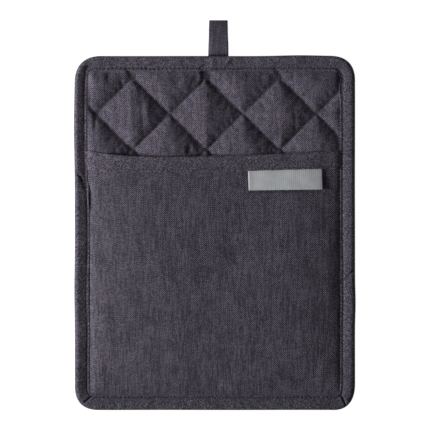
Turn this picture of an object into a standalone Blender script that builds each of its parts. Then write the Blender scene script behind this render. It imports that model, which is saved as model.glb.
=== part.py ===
"""Quilted pot holder with a hand pocket, lying on its back with the pocket side up.

X runs to the right across the holder, Y towards its hanging loop, and Z up out of the pocket
side. The origin is the middle of the whole outline, loop included, on the surface below it.
"""

import math
from collections import namedtuple

import bmesh
import bpy

# ---------------------------------------------------------------- driving sizes, in metres
BODY_WIDTH = 0.220
BODY_LENGTH = 0.278
LOOP_REACH = 0.0283            # of the hanging loop past the bound edge
CLOTH = 0.001                  # thickness of one layer of cloth or tape
CLEARANCE = 0.0003             # between two pieces that touch

BODY_MIDDLE_Y = -LOOP_REACH / 2
HALF_WIDTH = BODY_WIDTH / 2
BODY_TOP = BODY_MIDDLE_Y + BODY_LENGTH / 2
BODY_BOTTOM = BODY_MIDDLE_Y - BODY_LENGTH / 2

# The outline: a rectangle whose corners are quarters of a superellipse.
Corner = namedtuple("Corner", "side_x side_y reach_x reach_y")
CORNERS = (
    Corner(side_x=+1, side_y=+1, reach_x=0.0205, reach_y=0.0205),
    Corner(side_x=-1, side_y=+1, reach_x=0.0220, reach_y=0.0220),
    Corner(side_x=-1, side_y=-1, reach_x=0.0195, reach_y=0.0195),
    Corner(side_x=+1, side_y=-1, reach_x=0.0180, reach_y=0.0220),
)
CORNER_POWER = 2.5
CORNER_STEPS = 8
SIDE_STEPS = 8
EDGE_WAVE = 0.0006             # how far the sewn edge wanders inward
EDGE_WAVE_LENGTH = 0.105

# The binding, a bias strip folded round the edge. Heights are above the resting surface.
BAND_WIDTH = 0.0118
BAND_WIDTH_LEFT = 0.0112       # lower left side
BAND_WIDTH_LEFT_TOP = 0.0098   # upper left side, where the strip was caught narrower
LEFT_STEP_Y = 0.018            # where the left side changes width
LEFT_STEP_LENGTH = 0.012
BAND_FLOOR = 0.0027
BAND_TOP = 0.0089
CAVITY_FLOOR = 0.0039
CAVITY_CEILING = 0.0076
BAND_MIDDLE = (CAVITY_FLOOR + CAVITY_CEILING) / 2
LIP_TOP = 0.0086
STITCH_GROOVE_TOP = 0.0081
STITCH_INSET = 0.0020          # of the stitched groove from the strip's inner edge
CAVITY_DEPTH = 0.0026          # from the outer edge to where the pad may begin

# The quilted pad.
PAD_INSET = CAVITY_DEPTH + CLEARANCE
RIM_FLOOR = CAVITY_FLOOR + CLEARANCE
RIM_TOP_UNDER_POCKET = CAVITY_CEILING - CLOTH - 2 * CLEARANCE
RIM_TOP_OPEN = CAVITY_CEILING - CLEARANCE
RIM_STEP_Y = 0.053             # just past the pocket's mouth
RIM_STEP_LENGTH = 0.008
PUFF_TOP = 0.0080
CHANNEL_TOP = 0.0052
CHANNEL_FLOOR = 0.0015
SWELL_START = 0.0035           # from the binding to where the pad begins to swell
SWELL_START_OPEN = 0.0010      # the same on the front above the pocket
SWELL_REACH = 0.017            # from there to the full thickness, on the front
SWELL_REACH_OPEN = 0.008
SWELL_START_BACK = 0.0050
SWELL_REACH_BACK = 0.012
QUILT_PERIOD_X = 0.0577
QUILT_PERIOD_Y = 0.0565
QUILT_CROSSING_X = 0.0220      # one crossing of the stitched lines
QUILT_CROSSING_Y = 0.0793
PUFF_ROUNDNESS = 0.6
FLAT_BACK_SHARE = 0.6          # the rest of each diamond lies flat on the surface below
DIAMOND_STEPS = (0.0, 0.1, 0.28, 0.5, 0.72, 0.9)
DIAMONDS_ALONG_A = (-7, 3)
DIAMONDS_ALONG_B = (-4, 6)

# The pocket panel.
PANEL_INSET = 0.0034
PANEL_EDGE_Z = CAVITY_CEILING - CLEARANCE - CLOTH / 2
PANEL_RISE = 0.0080
SIDE_SWELL_REACH = 0.065
BOTTOM_SWELL_REACH = 0.075
MOUTH_LOW_X = -0.035           # the mouth sags most here
MOUTH_LOW_Y = 0.0459
MOUTH_END_RISE = 0.0051
MOUTH_POWER_LEFT = 3.0
MOUTH_POWER_RIGHT = 1.8
# Places of its columns, inward from the binding on each side, and of its rows, as shares.
PANEL_COLUMNS = (-0.0084, -0.0034, 0.0, 0.0062, 0.013, 0.022, 0.033, 0.046, 0.061, 0.079)
PANEL_ROWS = (0.0, 0.03, 0.07, 0.12, 0.18, 0.26, 0.36, 0.48, 0.61, 0.74, 0.86, 0.945, 1.0)

# The bias strip that binds the pocket's mouth, front and back.
STRIP_LOWER_Y = 0.0340         # its lower edge, left of the middle
STRIP_LOWER_RISE = 0.0027      # how far that edge climbs towards the right end
STRIP_FOLD_RADIUS = CLOTH + CLEARANCE
STRIP_BACK_END_X = 0.092       # the back leg stops short of the binding
STRIP_COLUMNS = PANEL_COLUMNS[3:]
STRIP_FRONT_ROWS = (0.0, 0.33, 0.66, 1.0)
STRIP_FOLD_STEPS = 6
STRIP_BACK_ROWS = (0.5, 1.0)

# The hanging loop, a tape folded over on itself.
TAPE_WIDTH = 0.0147
LOOP_MIDDLE_X = 0.0027
TAIL_END_Y = BODY_TOP - BAND_WIDTH - 0.001
LOOP_LOWER_Z = 0.0006
LOOP_UPPER_Z = LOOP_LOWER_Z + CLOTH + CLEARANCE
LOOP_RISE_START_Y = BODY_TOP - 0.0008
LOOP_FOLD_RADIUS = 0.0009
LOOP_HUMP = 0.0046             # how far the upper layer stands off, for a hook
LOOP_HUMP_POWER = 0.8
LOOP_FOLD_STEPS = 6
LOOP_UPPER_STEPS = 14

# The woven tab.
TAB_LENGTH = 0.0575
TAB_WIDTH = 0.0152
TAB_MIDDLE_X = 0.0552
TAB_END_LIFT = 0.0017          # its right end stands off the panel
TAB_STEPS = (10, 3)

LINEN_COLOUR = 0x413D46
LINEN_BINDING_COLOUR = 0x48444C
TAB_COLOUR = 0x949699


# ---------------------------------------------------------------- shared helpers
def clamp(value):
    """Limit a value to 0..1."""
    return min(1.0, max(0.0, value))


def smooth_step(value):
    """Ease from 0 to 1 as the value goes from 0 to 1."""
    t = clamp(value)
    return t * t * (3 - 2 * t)


def swell(distance, reach):
    """Rise of a stretched cloth: steep at its held edge, level after the reach."""
    return 1 - (1 - clamp(distance / reach)) ** 3


def linear_colour(srgb):
    """Turn a 0xRRGGBB colour into the linear values of a shader."""
    channels = ((srgb >> shift & 0xFF) / 255 for shift in (16, 8, 0))
    linear = (c / 12.92 if c <= 0.04045 else ((c + 0.055) / 1.055) ** 2.4 for c in channels)
    return (*linear, 1.0)


def make_material(name, srgb, roughness, sheen):
    """Make a cloth material."""
    material = bpy.data.materials.new(name)
    material.use_nodes = True
    shader = material.node_tree.nodes["Principled BSDF"]
    shader.inputs["Base Color"].default_value = linear_colour(srgb)
    shader.inputs["Roughness"].default_value = roughness
    shader.inputs["Metallic"].default_value = 0.0
    shader.inputs["Sheen Weight"].default_value = sheen
    return material


def add_object(name, mesh, collection, material=None):
    """Put a mesh in a collection under a name, shaded smooth."""
    obj = bpy.data.objects.new(name, mesh)
    collection.objects.link(obj)
    if material:
        mesh.materials.append(material)
        mesh.shade_smooth()
        mesh.set_sharp_from_angle(angle=math.radians(50))
    return obj


def formed_grid(columns, rows, place):
    """Make a grid and move each of its points to place(column, row).

    The points keep their column and row numbers in two layers.
    """
    bm = bmesh.new()
    bmesh.ops.create_grid(bm, x_segments=columns, y_segments=rows, size=1.0)
    column_of = bm.verts.layers.int.new("column")
    row_of = bm.verts.layers.int.new("row")
    for vert in bm.verts:
        vert[column_of] = round((vert.co.x + 1) / 2 * columns)
        vert[row_of] = round((vert.co.y + 1) / 2 * rows)
        vert.co = place(vert[column_of], vert[row_of])
    return bm


def finish_mesh(name, bm):
    """Turn the faces outward and write the mesh."""
    bmesh.ops.recalc_face_normals(bm, faces=bm.faces)
    mesh = bpy.data.meshes.new(name)
    bm.to_mesh(mesh)
    bm.free()
    return mesh


def thicken(obj, thickness):
    """Give an open sheet its thickness, half to each side."""
    solidify = obj.modifiers.new("cloth thickness", "SOLIDIFY")
    solidify.thickness = thickness
    solidify.offset = 0.0
    solidify.use_even_offset = True


# ---------------------------------------------------------------- the outline
def edge_wander(along):
    """How far the sewn edge wanders inward at a distance along its side."""
    return EDGE_WAVE * (0.5 - 0.5 * math.cos(2 * math.pi * along / EDGE_WAVE_LENGTH))


def corner_points(corner):
    """Points of one rounded corner, counterclockwise."""
    quarter = {(1, 1): 0, (-1, 1): 1, (-1, -1): 2, (1, -1): 3}[corner.side_x, corner.side_y]
    middle_x = corner.side_x * (HALF_WIDTH - corner.reach_x)
    middle_y = BODY_MIDDLE_Y + corner.side_y * (BODY_LENGTH / 2 - corner.reach_y)
    points = []
    for step in range(CORNER_STEPS + 1):
        angle = math.pi / 2 * (quarter + step / CORNER_STEPS)
        across = abs(math.cos(angle)) ** (2 / CORNER_POWER)
        along = abs(math.sin(angle)) ** (2 / CORNER_POWER)
        points.append((middle_x + corner.side_x * corner.reach_x * across,
                       middle_y + corner.side_y * corner.reach_y * along))
    return points


def outline_points():
    """Points of the whole outer edge, counterclockwise from the right side."""
    corners = [corner_points(corner) for corner in CORNERS]
    points = []
    for index, corner in enumerate(corners):
        points += corner
        start, end = corner[-1], corners[(index + 1) % len(corners)][0]
        length = math.dist(start, end)
        inward = ((start[1] - end[1]) / length, (end[0] - start[0]) / length)
        for step in range(1, SIDE_STEPS):
            share = step / SIDE_STEPS
            shift = edge_wander(share * length)
            points.append((start[0] + (end[0] - start[0]) * share + inward[0] * shift,
                           start[1] + (end[1] - start[1]) * share + inward[1] * shift))
    return points


def edge_stations():
    """The outline's points, each with its inward direction."""
    points = outline_points()
    stations = []
    for index, (x, y) in enumerate(points):
        before, after = points[index - 1], points[(index + 1) % len(points)]
        run_x, run_y = after[0] - before[0], after[1] - before[1]
        length = math.hypot(run_x, run_y)
        stations.append((x, y, -run_y / length, run_x / length))
    return stations


# ---------------------------------------------------------------- the binding
def band_width(x, y):
    """Width of the binding on the front at a place of the outer edge."""
    narrow = smooth_step((y - LEFT_STEP_Y) / LEFT_STEP_LENGTH)
    left = BAND_WIDTH_LEFT + (BAND_WIDTH_LEFT_TOP - BAND_WIDTH_LEFT) * narrow
    corner_reach = CORNERS[1].reach_x
    leftness = smooth_step((-x - HALF_WIDTH + corner_reach) / corner_reach)
    return BAND_WIDTH + (left - BAND_WIDTH) * leftness


def band_section(width):
    """The folded strip's closed section, as (inset from the edge, height) points."""
    groove = width - STITCH_INSET
    crown = 0.45 * width
    shoulder = 0.22 * width
    round_inset = 0.0009
    round_height = 0.0016
    shoulder_drop = 0.0005
    cavity_round = 0.0010
    cavity_corner = 0.0007
    front = [
        (width, CAVITY_CEILING),
        (width, LIP_TOP),
        (groove + 0.0007, LIP_TOP),
        (groove, STITCH_GROOVE_TOP),
        (groove - 0.0011, LIP_TOP),
        (crown, BAND_TOP),
        (shoulder, BAND_TOP - shoulder_drop),
        (round_inset, BAND_MIDDLE + round_height),
        (0.0, BAND_MIDDLE),
    ]
    back = [
        (round_inset, BAND_MIDDLE - round_height),
        (shoulder, BAND_FLOOR + shoulder_drop),
        (crown, BAND_FLOOR),
        (width, BAND_FLOOR),
        (width, CAVITY_FLOOR),
    ]
    inside = [
        (CAVITY_DEPTH, CAVITY_FLOOR),
        (CAVITY_DEPTH - cavity_round, CAVITY_FLOOR + cavity_corner),
        (CAVITY_DEPTH - cavity_round, CAVITY_CEILING - cavity_corner),
        (CAVITY_DEPTH, CAVITY_CEILING),
    ]
    return front + back + inside


def build_binding(collection):
    """The binding: its section carried round the whole edge."""
    stations = edge_stations()
    section_size = len(band_section(BAND_WIDTH))
    bpy.ops.mesh.primitive_torus_add(major_segments=len(stations), minor_segments=section_size)
    ring = bpy.context.object
    mesh = ring.data
    for index, vert in enumerate(mesh.vertices):
        x, y, inward_x, inward_y = stations[index // section_size]
        inset, height = band_section(band_width(x, y))[index % section_size]
        vert.co = (x + inward_x * inset, y + inward_y * inset, height)
    bpy.data.objects.remove(ring)
    bm = bmesh.new()
    bm.from_mesh(mesh)
    material = make_material("bias-cut linen", LINEN_BINDING_COLOUR, 0.9, 0.3)
    return add_object("edge_binding", finish_mesh("edge_binding", bm), collection, material)


# ---------------------------------------------------------------- the quilted pad
def pad_swell(x, y, start, reach):
    """How fully the pad has swollen at a place: 0 at the binding, 1 inside."""
    held = BAND_WIDTH + start
    distances = (HALF_WIDTH - held - abs(x), BODY_TOP - held - y, y - BODY_BOTTOM - held)
    share = 1.0
    for distance in distances:
        share *= smooth_step(distance / reach)
    return share


def puff(lattice_a, lattice_b):
    """Fullness of a quilted diamond: 0 on its stitched lines, 1 in its middle."""
    product = abs(math.sin(math.pi * lattice_a) * math.sin(math.pi * lattice_b))
    return 0.0 if product < 1e-9 else product ** PUFF_ROUNDNESS


def pad_heights(x, y, fullness):
    """Heights of the pad's back and front."""
    opened = smooth_step((y - RIM_STEP_Y) / RIM_STEP_LENGTH)
    rim_top = RIM_TOP_UNDER_POCKET + (RIM_TOP_OPEN - RIM_TOP_UNDER_POCKET) * opened
    back_share = pad_swell(x, y, SWELL_START_BACK, SWELL_REACH_BACK)
    front_share = pad_swell(x, y,
                            SWELL_START + (SWELL_START_OPEN - SWELL_START) * opened,
                            SWELL_REACH + (SWELL_REACH_OPEN - SWELL_REACH) * opened)
    front = CHANNEL_TOP + (PUFF_TOP - CHANNEL_TOP) * fullness
    back = CHANNEL_FLOOR * (1 - clamp(fullness / FLAT_BACK_SHARE))
    return (RIM_FLOOR + (back - RIM_FLOOR) * back_share,
            rim_top + (front - rim_top) * front_share)


def outline_prism(name, inset, height, collection):
    """A solid prism of the outline, moved inward, through the given height."""
    curve = bpy.data.curves.new(name, "CURVE")
    curve.dimensions = "2D"
    curve.fill_mode = "BOTH"
    curve.extrude = height
    stations = edge_stations()
    spline = curve.splines.new("POLY")
    spline.points.add(len(stations) - 1)
    spline.use_cyclic_u = True
    for point, (x, y, inward_x, inward_y) in zip(spline.points, stations):
        point.co = (x + inward_x * inset, y + inward_y * inset, 0.0, 1.0)
    outline = add_object(name + "_outline", curve, collection)
    evaluated = outline.evaluated_get(bpy.context.evaluated_depsgraph_get())
    mesh = bpy.data.meshes.new_from_object(evaluated)
    bpy.data.objects.remove(outline)
    bm = bmesh.new()
    bm.from_mesh(mesh)
    bmesh.ops.remove_doubles(bm, verts=bm.verts, dist=1e-6)
    prism = add_object(name, finish_mesh(name, bm), collection)
    prism.hide_render = True
    prism.display_type = "WIRE"
    return prism


def build_pad(collection, cutters):
    """The pad: a slab shaped by the stitched diamonds, trimmed to the outline."""
    steps = len(DIAMOND_STEPS)
    count_a = (DIAMONDS_ALONG_A[1] - DIAMONDS_ALONG_A[0]) * steps
    count_b = (DIAMONDS_ALONG_B[1] - DIAMONDS_ALONG_B[0]) * steps

    def lattice(first, index):
        return first + index // steps + DIAMOND_STEPS[index % steps]

    def place(column, row):
        a = lattice(DIAMONDS_ALONG_A[0], column)
        b = lattice(DIAMONDS_ALONG_B[0], row)
        return (QUILT_CROSSING_X + QUILT_PERIOD_X * (a + b) / 2,
                QUILT_CROSSING_Y + QUILT_PERIOD_Y * (a - b) / 2,
                0.0)

    bm = formed_grid(count_a, count_b, place)
    outside = [face for face in bm.faces if beyond_outline(face.calc_center_median())]
    bmesh.ops.delete(bm, geom=outside, context="FACES")
    lower = list(bm.verts)
    column_of = bm.verts.layers.int["column"]
    row_of = bm.verts.layers.int["row"]
    extruded = bmesh.ops.extrude_face_region(bm, geom=bm.faces[:])
    upper = {item for item in extruded["geom"] if isinstance(item, bmesh.types.BMVert)}
    for vert in list(upper) + lower:
        fullness = puff(lattice(0, vert[column_of]), lattice(0, vert[row_of]))
        back, front = pad_heights(vert.co.x, vert.co.y, fullness)
        vert.co.z = front if vert in upper else back
    material = make_material("quilted linen", LINEN_COLOUR, 0.9, 0.3)
    pad = add_object("quilted_pad", finish_mesh("quilted_pad", bm), collection, material)
    trim = pad.modifiers.new("trim to the outline", "BOOLEAN")
    trim.operation = "INTERSECT"
    trim.solver = "EXACT"
    trim.object = outline_prism("pad_outline", PAD_INSET, 0.05, cutters)
    return pad


def beyond_outline(point):
    """Whether a point lies well outside the body's box."""
    margin = 0.008
    return (abs(point.x) > HALF_WIDTH + margin
            or abs(point.y - BODY_MIDDLE_Y) > BODY_LENGTH / 2 + margin)


# ---------------------------------------------------------------- the pocket panel
def panel_height(x, y):
    """Height of the middle of the panel's cloth."""
    side = swell(HALF_WIDTH - BAND_WIDTH - abs(x), SIDE_SWELL_REACH)
    bottom = swell(y - BODY_BOTTOM - BAND_WIDTH, BOTTOM_SWELL_REACH)
    return PANEL_EDGE_Z + PANEL_RISE * side * bottom


def mouth_y(x):
    """Where the pocket's mouth runs: lowest left of the middle, rising to both ends."""
    if x < MOUTH_LOW_X:
        share = (MOUTH_LOW_X - x) / (MOUTH_LOW_X + HALF_WIDTH - BAND_WIDTH)
        return MOUTH_LOW_Y + MOUTH_END_RISE * min(1.0, share) ** MOUTH_POWER_LEFT
    share = (x - MOUTH_LOW_X) / (HALF_WIDTH - BAND_WIDTH - MOUTH_LOW_X)
    return MOUTH_LOW_Y + MOUTH_END_RISE * min(1.0, share) ** MOUTH_POWER_RIGHT


def panel_bottom_y(x):
    """Where the panel ends below, following the rounded corners."""
    corner = CORNERS[2] if x < 0 else CORNERS[3]
    reach_x = corner.reach_x - PANEL_INSET
    reach_y = corner.reach_y - PANEL_INSET
    past = clamp((abs(x) - HALF_WIDTH + corner.reach_x) / reach_x)
    drop = reach_y * (1 - (1 - past ** CORNER_POWER) ** (1 / CORNER_POWER))
    return BODY_BOTTOM + PANEL_INSET + drop


def fold_y(x):
    """Where the panel ends at the mouth, inside the fold of the strip that binds it."""
    return mouth_y(x) - CLOTH / 2 - STRIP_FOLD_RADIUS


def panel_path(x):
    """The panel's middle line at a place across, from its lower edge up to the mouth."""
    bottom = panel_bottom_y(x)
    start = max(BODY_BOTTOM + BAND_WIDTH, bottom + CLOTH)
    heights = [bottom] + [start + (fold_y(x) - start) * share for share in PANEL_ROWS]
    return [(x, y, panel_height(x, y)) for y in heights]


def build_panel(collection):
    """The pocket panel: one cloth, held by the binding on three sides."""
    half = [-HALF_WIDTH + BAND_WIDTH + reach for reach in PANEL_COLUMNS]
    across = half + [0.0] + [-x for x in reversed(half)]
    paths = [panel_path(x) for x in across]
    bm = formed_grid(len(paths) - 1, len(paths[0]) - 1, lambda column, row: paths[column][row])
    material = make_material("washed linen", LINEN_COLOUR, 0.9, 0.3)
    panel = add_object("pocket_panel", finish_mesh("pocket_panel", bm), collection, material)
    thicken(panel, CLOTH)
    return panel


# ---------------------------------------------------------------- the mouth's binding
def strip_lower_y(x):
    """Lower edge of the strip on the front."""
    return STRIP_LOWER_Y + STRIP_LOWER_RISE * clamp(x / (HALF_WIDTH - BAND_WIDTH))


def strip_path(x):
    """The strip's middle line: up its front leg, round the mouth and down its back leg."""
    lower, fold = strip_lower_y(x), fold_y(x)
    front_end = fold if abs(x) < STRIP_BACK_END_X + CLEARANCE else mouth_y(x)
    path = []
    for share in STRIP_FRONT_ROWS:
        y = lower + (front_end - lower) * share
        path.append((x, y, panel_height(x, y) + STRIP_FOLD_RADIUS))
    for step in range(1, STRIP_FOLD_STEPS + 1):
        angle = math.pi * step / STRIP_FOLD_STEPS
        path.append((x, fold + STRIP_FOLD_RADIUS * math.sin(angle),
                     panel_height(x, fold) + STRIP_FOLD_RADIUS * math.cos(angle)))
    for share in STRIP_BACK_ROWS:
        y = fold + (lower - fold) * share
        path.append((x, y, panel_height(x, y) - STRIP_FOLD_RADIUS))
    return path


def build_mouth_binding(collection):
    """The bias strip folded over the pocket's mouth."""
    room = EDGE_WAVE + 2 * CLEARANCE
    left_end = -HALF_WIDTH + BAND_WIDTH_LEFT_TOP + room
    right_end = HALF_WIDTH - BAND_WIDTH - room
    half = [-HALF_WIDTH + BAND_WIDTH + reach for reach in STRIP_COLUMNS]
    across = [left_end] + half + [0.0] + [-x for x in reversed(half)] + [right_end]
    paths = [strip_path(x) for x in across]
    bm = formed_grid(len(paths) - 1, len(paths[0]) - 1, lambda column, row: paths[column][row])
    column_of = bm.verts.layers.int["column"]
    row_of = bm.verts.layers.int["row"]
    short = []
    for face in bm.faces:
        behind = min(vert[row_of] for vert in face.verts) >= len(STRIP_FRONT_ROWS) - 1
        reach = max(abs(across[vert[column_of]]) for vert in face.verts)
        if behind and reach > STRIP_BACK_END_X + CLEARANCE:
            short.append(face)
    bmesh.ops.delete(bm, geom=short, context="FACES")
    material = make_material("bias-cut linen strip", LINEN_BINDING_COLOUR, 0.9, 0.3)
    strip = add_object("mouth_binding", finish_mesh("mouth_binding", bm), collection, material)
    thicken(strip, CLOTH)
    return strip


# ---------------------------------------------------------------- the hanging loop
def loop_path():
    """The tape's middle line: out along the surface, folded over, and back in a low hump."""
    fold_y = BODY_TOP + LOOP_REACH - CLOTH / 2 - LOOP_FOLD_RADIUS
    path = [(TAIL_END_Y, LOOP_LOWER_Z), (BODY_TOP, LOOP_LOWER_Z)]
    for step in range(LOOP_FOLD_STEPS + 1):
        angle = math.pi * (step / LOOP_FOLD_STEPS - 0.5)
        path.append((fold_y + LOOP_FOLD_RADIUS * math.cos(angle),
                     LOOP_LOWER_Z + LOOP_FOLD_RADIUS * (1 + math.sin(angle))))
    fold_top = path[-1][1]
    for step in range(1, LOOP_UPPER_STEPS + 1):
        share = step / LOOP_UPPER_STEPS
        base = fold_top + (LOOP_UPPER_Z - fold_top) * share
        hump = LOOP_HUMP * max(0.0, math.sin(math.pi * share)) ** LOOP_HUMP_POWER
        path.append((fold_y + (LOOP_RISE_START_Y - fold_y) * share, base + hump))
    path.append((TAIL_END_Y, LOOP_UPPER_Z))
    return path


def build_loop(collection):
    """The hanging loop: one tape, its two tails behind the binding."""
    path = loop_path()
    columns = 2

    def place(column, row):
        x = LOOP_MIDDLE_X + TAPE_WIDTH * (column / columns - 0.5)
        return (x, *path[row])

    bm = formed_grid(columns, len(path) - 1, place)
    material = make_material("folded linen tape", LINEN_COLOUR, 0.9, 0.3)
    loop = add_object("hanging_loop", finish_mesh("hanging_loop", bm), collection, material)
    thicken(loop, CLOTH)
    return loop


# ---------------------------------------------------------------- the woven tab
def build_tab(collection):
    """The woven tab: it hangs at the strip's lower edge, its right end off the panel."""
    columns, rows = TAB_STEPS

    def place(column, row):
        x = TAB_MIDDLE_X + TAB_LENGTH * (column / columns - 0.5)
        y = strip_lower_y(x) - CLEARANCE - TAB_WIDTH * (1 - row / rows)
        lift = TAB_END_LIFT * smooth_step(column / columns)
        return (x, y, panel_height(x, y) + CLOTH + 1.3 * CLEARANCE + lift)

    bm = formed_grid(columns, rows, place)
    material = make_material("woven satin ribbon", TAB_COLOUR, 0.55, 0.1)
    tab = add_object("woven_tab", finish_mesh("woven_tab", bm), collection, material)
    thicken(tab, CLOTH)
    return tab


def main():
    """Build the pot holder."""
    for obj in list(bpy.data.objects):
        bpy.data.objects.remove(obj)
    parts = bpy.data.collections.new("pot_holder")
    cutters = bpy.data.collections.new("pot_holder_cutters")
    bpy.context.scene.collection.children.link(parts)
    bpy.context.scene.collection.children.link(cutters)
    build_pad(parts, cutters)
    build_panel(parts)
    build_mouth_binding(parts)
    build_binding(parts)
    build_loop(parts)
    build_tab(parts)


main()
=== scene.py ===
"""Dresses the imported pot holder: washed charcoal linen, quilted, bound and stitched.

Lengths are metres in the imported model's frame unless a name or docstring says millimetres:
X runs to the right across the holder, Y towards its hanging loop, Z up out of the pocket side.
"""

import logging
import math
from dataclasses import dataclass
from enum import Enum

import bpy
import numpy as np
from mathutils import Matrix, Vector


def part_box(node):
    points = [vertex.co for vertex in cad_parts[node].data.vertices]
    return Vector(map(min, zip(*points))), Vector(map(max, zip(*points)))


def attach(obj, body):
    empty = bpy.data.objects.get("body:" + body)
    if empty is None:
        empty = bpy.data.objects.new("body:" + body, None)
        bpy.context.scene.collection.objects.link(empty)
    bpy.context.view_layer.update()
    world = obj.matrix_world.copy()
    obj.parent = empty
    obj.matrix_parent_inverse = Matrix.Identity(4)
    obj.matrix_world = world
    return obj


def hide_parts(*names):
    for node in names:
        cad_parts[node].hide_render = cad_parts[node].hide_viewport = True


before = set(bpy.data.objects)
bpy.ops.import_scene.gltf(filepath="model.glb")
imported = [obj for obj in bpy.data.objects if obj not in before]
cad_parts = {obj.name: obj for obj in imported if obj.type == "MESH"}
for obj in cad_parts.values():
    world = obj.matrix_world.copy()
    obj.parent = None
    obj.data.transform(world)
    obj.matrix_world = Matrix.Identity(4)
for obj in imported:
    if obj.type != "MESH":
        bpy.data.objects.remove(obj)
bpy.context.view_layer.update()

Array = np.ndarray
Material = bpy.types.Material
Node = bpy.types.Node
Object = bpy.types.Object
Socket = bpy.types.NodeSocket
Tree = bpy.types.NodeTree
MM = 0.001
CLOTH = 0.0010  # one layer of linen, or a folded strip's flattened leg
ONE_BAND = 0.314  # the wave texture's scale that draws one band for each unit
UV_NAME = "cloth"
WEAR_AND_SHADE_NAME = "wear_and_shade"
LOG = logging.getLogger("pot_holder")


# ---------------------------------------------------------------- shaping helpers
def smooth_step(value: Array) -> Array:
    """Ease from 0 to 1 as the value goes from 0 to 1."""
    t = np.clip(value, 0.0, 1.0)
    return t * t * (3 - 2 * t)


def between(ends: tuple[float, float], share: Array) -> Array:
    """Go from the first end to the second as the share goes from 0 to 1."""
    return ends[0] + (ends[1] - ends[0]) * share


def swell(distance: Array, reach: float) -> Array:
    """Rise of a stretched cloth: steep at its held edge, level after the reach."""
    return 1 - (1 - np.clip(distance / reach, 0.0, 1.0)) ** 3


def puffed(distance: Array, reach: float) -> Array:
    """Rise of a cloth that bulges out close to its seam."""
    return 1 - np.exp(-np.maximum(distance, 0.0) / reach)


@dataclass(frozen=True)
class Undulation:
    """Soft random hills and hollows over a plane, the same at each run."""

    seed: int  # picks the pattern
    length_x: float  # usual width of a hill, in metres
    length_y: float  # the same along Y

    def at(self, x: Array, y: Array) -> Array:
        """Height at places of the plane, from -1 to 1.

        Args:
            x: places across.
            y: places along.

        Returns:
            One height for each place.
        """
        size = 64
        table = np.random.default_rng(self.seed).uniform(-1.0, 1.0, (size, size))
        across, along = np.asarray(x) / self.length_x, np.asarray(y) / self.length_y
        column, row = np.floor(across).astype(int), np.floor(along).astype(int)
        share_x, share_y = smooth_step(across - column), smooth_step(along - row)

        def corner(step_x: int, step_y: int) -> Array:
            """The table's value at one corner of each cell."""
            return table[(row + step_y) % size, (column + step_x) % size]

        low = corner(0, 0) + (corner(1, 0) - corner(0, 0)) * share_x
        high = corner(0, 1) + (corner(1, 1) - corner(0, 1)) * share_x
        return low + (high - low) * share_y


class Fold(Enum):
    """How a crease is shaped across its line."""

    SOFT = "a rounded ridge or trough"
    LAP = "one side laid over the other"


@dataclass(frozen=True)
class Crease:
    """A fold in cloth along a line on the plan. All sizes are millimetres."""

    start: tuple[float, float]  # x and y of its one end
    end: tuple[float, float]  # x and y of its other end
    width: float  # from its middle to where it has nearly gone
    height: float  # of the ridge, below zero for a trough
    bow: float = 0.0  # how far its middle is pushed to its left
    fold: Fold = Fold.SOFT  # its shape across the line

    def rise(self, x: Array, y: Array) -> Array:
        """How far the crease lifts the cloth.

        Args:
            x: places across, in metres.
            y: places along, in metres.

        Returns:
            The lift at each place, in metres.
        """
        end_height, ease = 0.35, 0.3  # share of the height at its ends, and of the length
        lap_edge = 0.4 * MM  # width of a lapped fold's steep side
        start, end = np.array(self.start) * MM, np.array(self.end) * MM
        run = end - start
        length = float(np.hypot(*run))
        along = ((x - start[0]) * run[0] + (y - start[1]) * run[1]) / length ** 2
        aside = ((y - start[1]) * run[0] - (x - start[0]) * run[1]) / length
        share = np.clip(along, 0.0, 1.0)
        past = (along - share) * length
        aside = aside - self.bow * MM * 4 * share * (1 - share)
        eased = smooth_step(share / ease) * smooth_step((1 - share) / ease)
        taper = end_height + (1 - end_height) * eased
        width = self.width * MM
        if self.fold is Fold.LAP:
            edge = smooth_step(0.5 + aside / lap_edge)
            across = edge * np.exp(-np.maximum(aside, 0.0) / width)
        else:
            across = np.exp(-(aside / width) ** 2)
        return self.height * MM * taper * across * np.exp(-(past / width) ** 2)


def creased(x: Array, y: Array, creases: tuple[Crease, ...]) -> Array:
    """The lift of several creases together."""
    return sum((crease.rise(x, y) for crease in creases), np.zeros(np.shape(x)))


# ---------------------------------------------------------------- mesh helpers
def new_object(name: str, vertices: Array, faces: Array, uvs: Array,
               wear_and_shade: Array | None = None) -> Object:
    """Make a smooth mesh object with the cloth's own flat coordinates on it.

    Args:
        name: of the piece.
        vertices: one point a row.
        faces: vertex numbers of each four-sided or three-sided face.
        uvs: one flat coordinate for each corner of each face, in metres.
        wear_and_shade: paler above 0, mostly from rubbing, and darker below 0, as painted shade.

    Returns:
        The new object, linked to the scene.
    """
    mesh = bpy.data.meshes.new(name)
    mesh.from_pydata(vertices.tolist(), [], faces.tolist())
    layer = mesh.uv_layers.new(name=UV_NAME)
    layer.uv.foreach_set("vector", np.asarray(uvs, np.float32).ravel())
    tone_shift = mesh.attributes.new(WEAR_AND_SHADE_NAME, "FLOAT", "POINT")
    values = np.zeros(len(vertices)) if wear_and_shade is None else wear_and_shade
    tone_shift.data.foreach_set("value", np.asarray(values, np.float32).ravel())
    mesh.shade_smooth()
    mesh.update()
    obj = bpy.data.objects.new(name, mesh)
    bpy.context.scene.collection.objects.link(obj)
    return obj


def grid_faces(rows: int, columns: int, wrap: bool = False) -> Array:
    """Faces of a grid of points, counterclockwise with columns to the right and rows up.

    Args:
        rows: how many rows of points.
        columns: how many points a row.
        wrap: whether the last row and column join the first ones.

    Returns:
        Four point numbers for each face.
    """
    row_count, column_count = (rows, columns) if wrap else (rows - 1, columns - 1)
    row, column = np.meshgrid(np.arange(row_count), np.arange(column_count), indexing="ij")
    next_row, next_column = (row + 1) % rows, (column + 1) % columns
    corners = ((row, column), (row, next_column), (next_row, next_column), (next_row, column))
    return np.stack([r * columns + c for r, c in corners], axis=-1).reshape(-1, 4)


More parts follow.
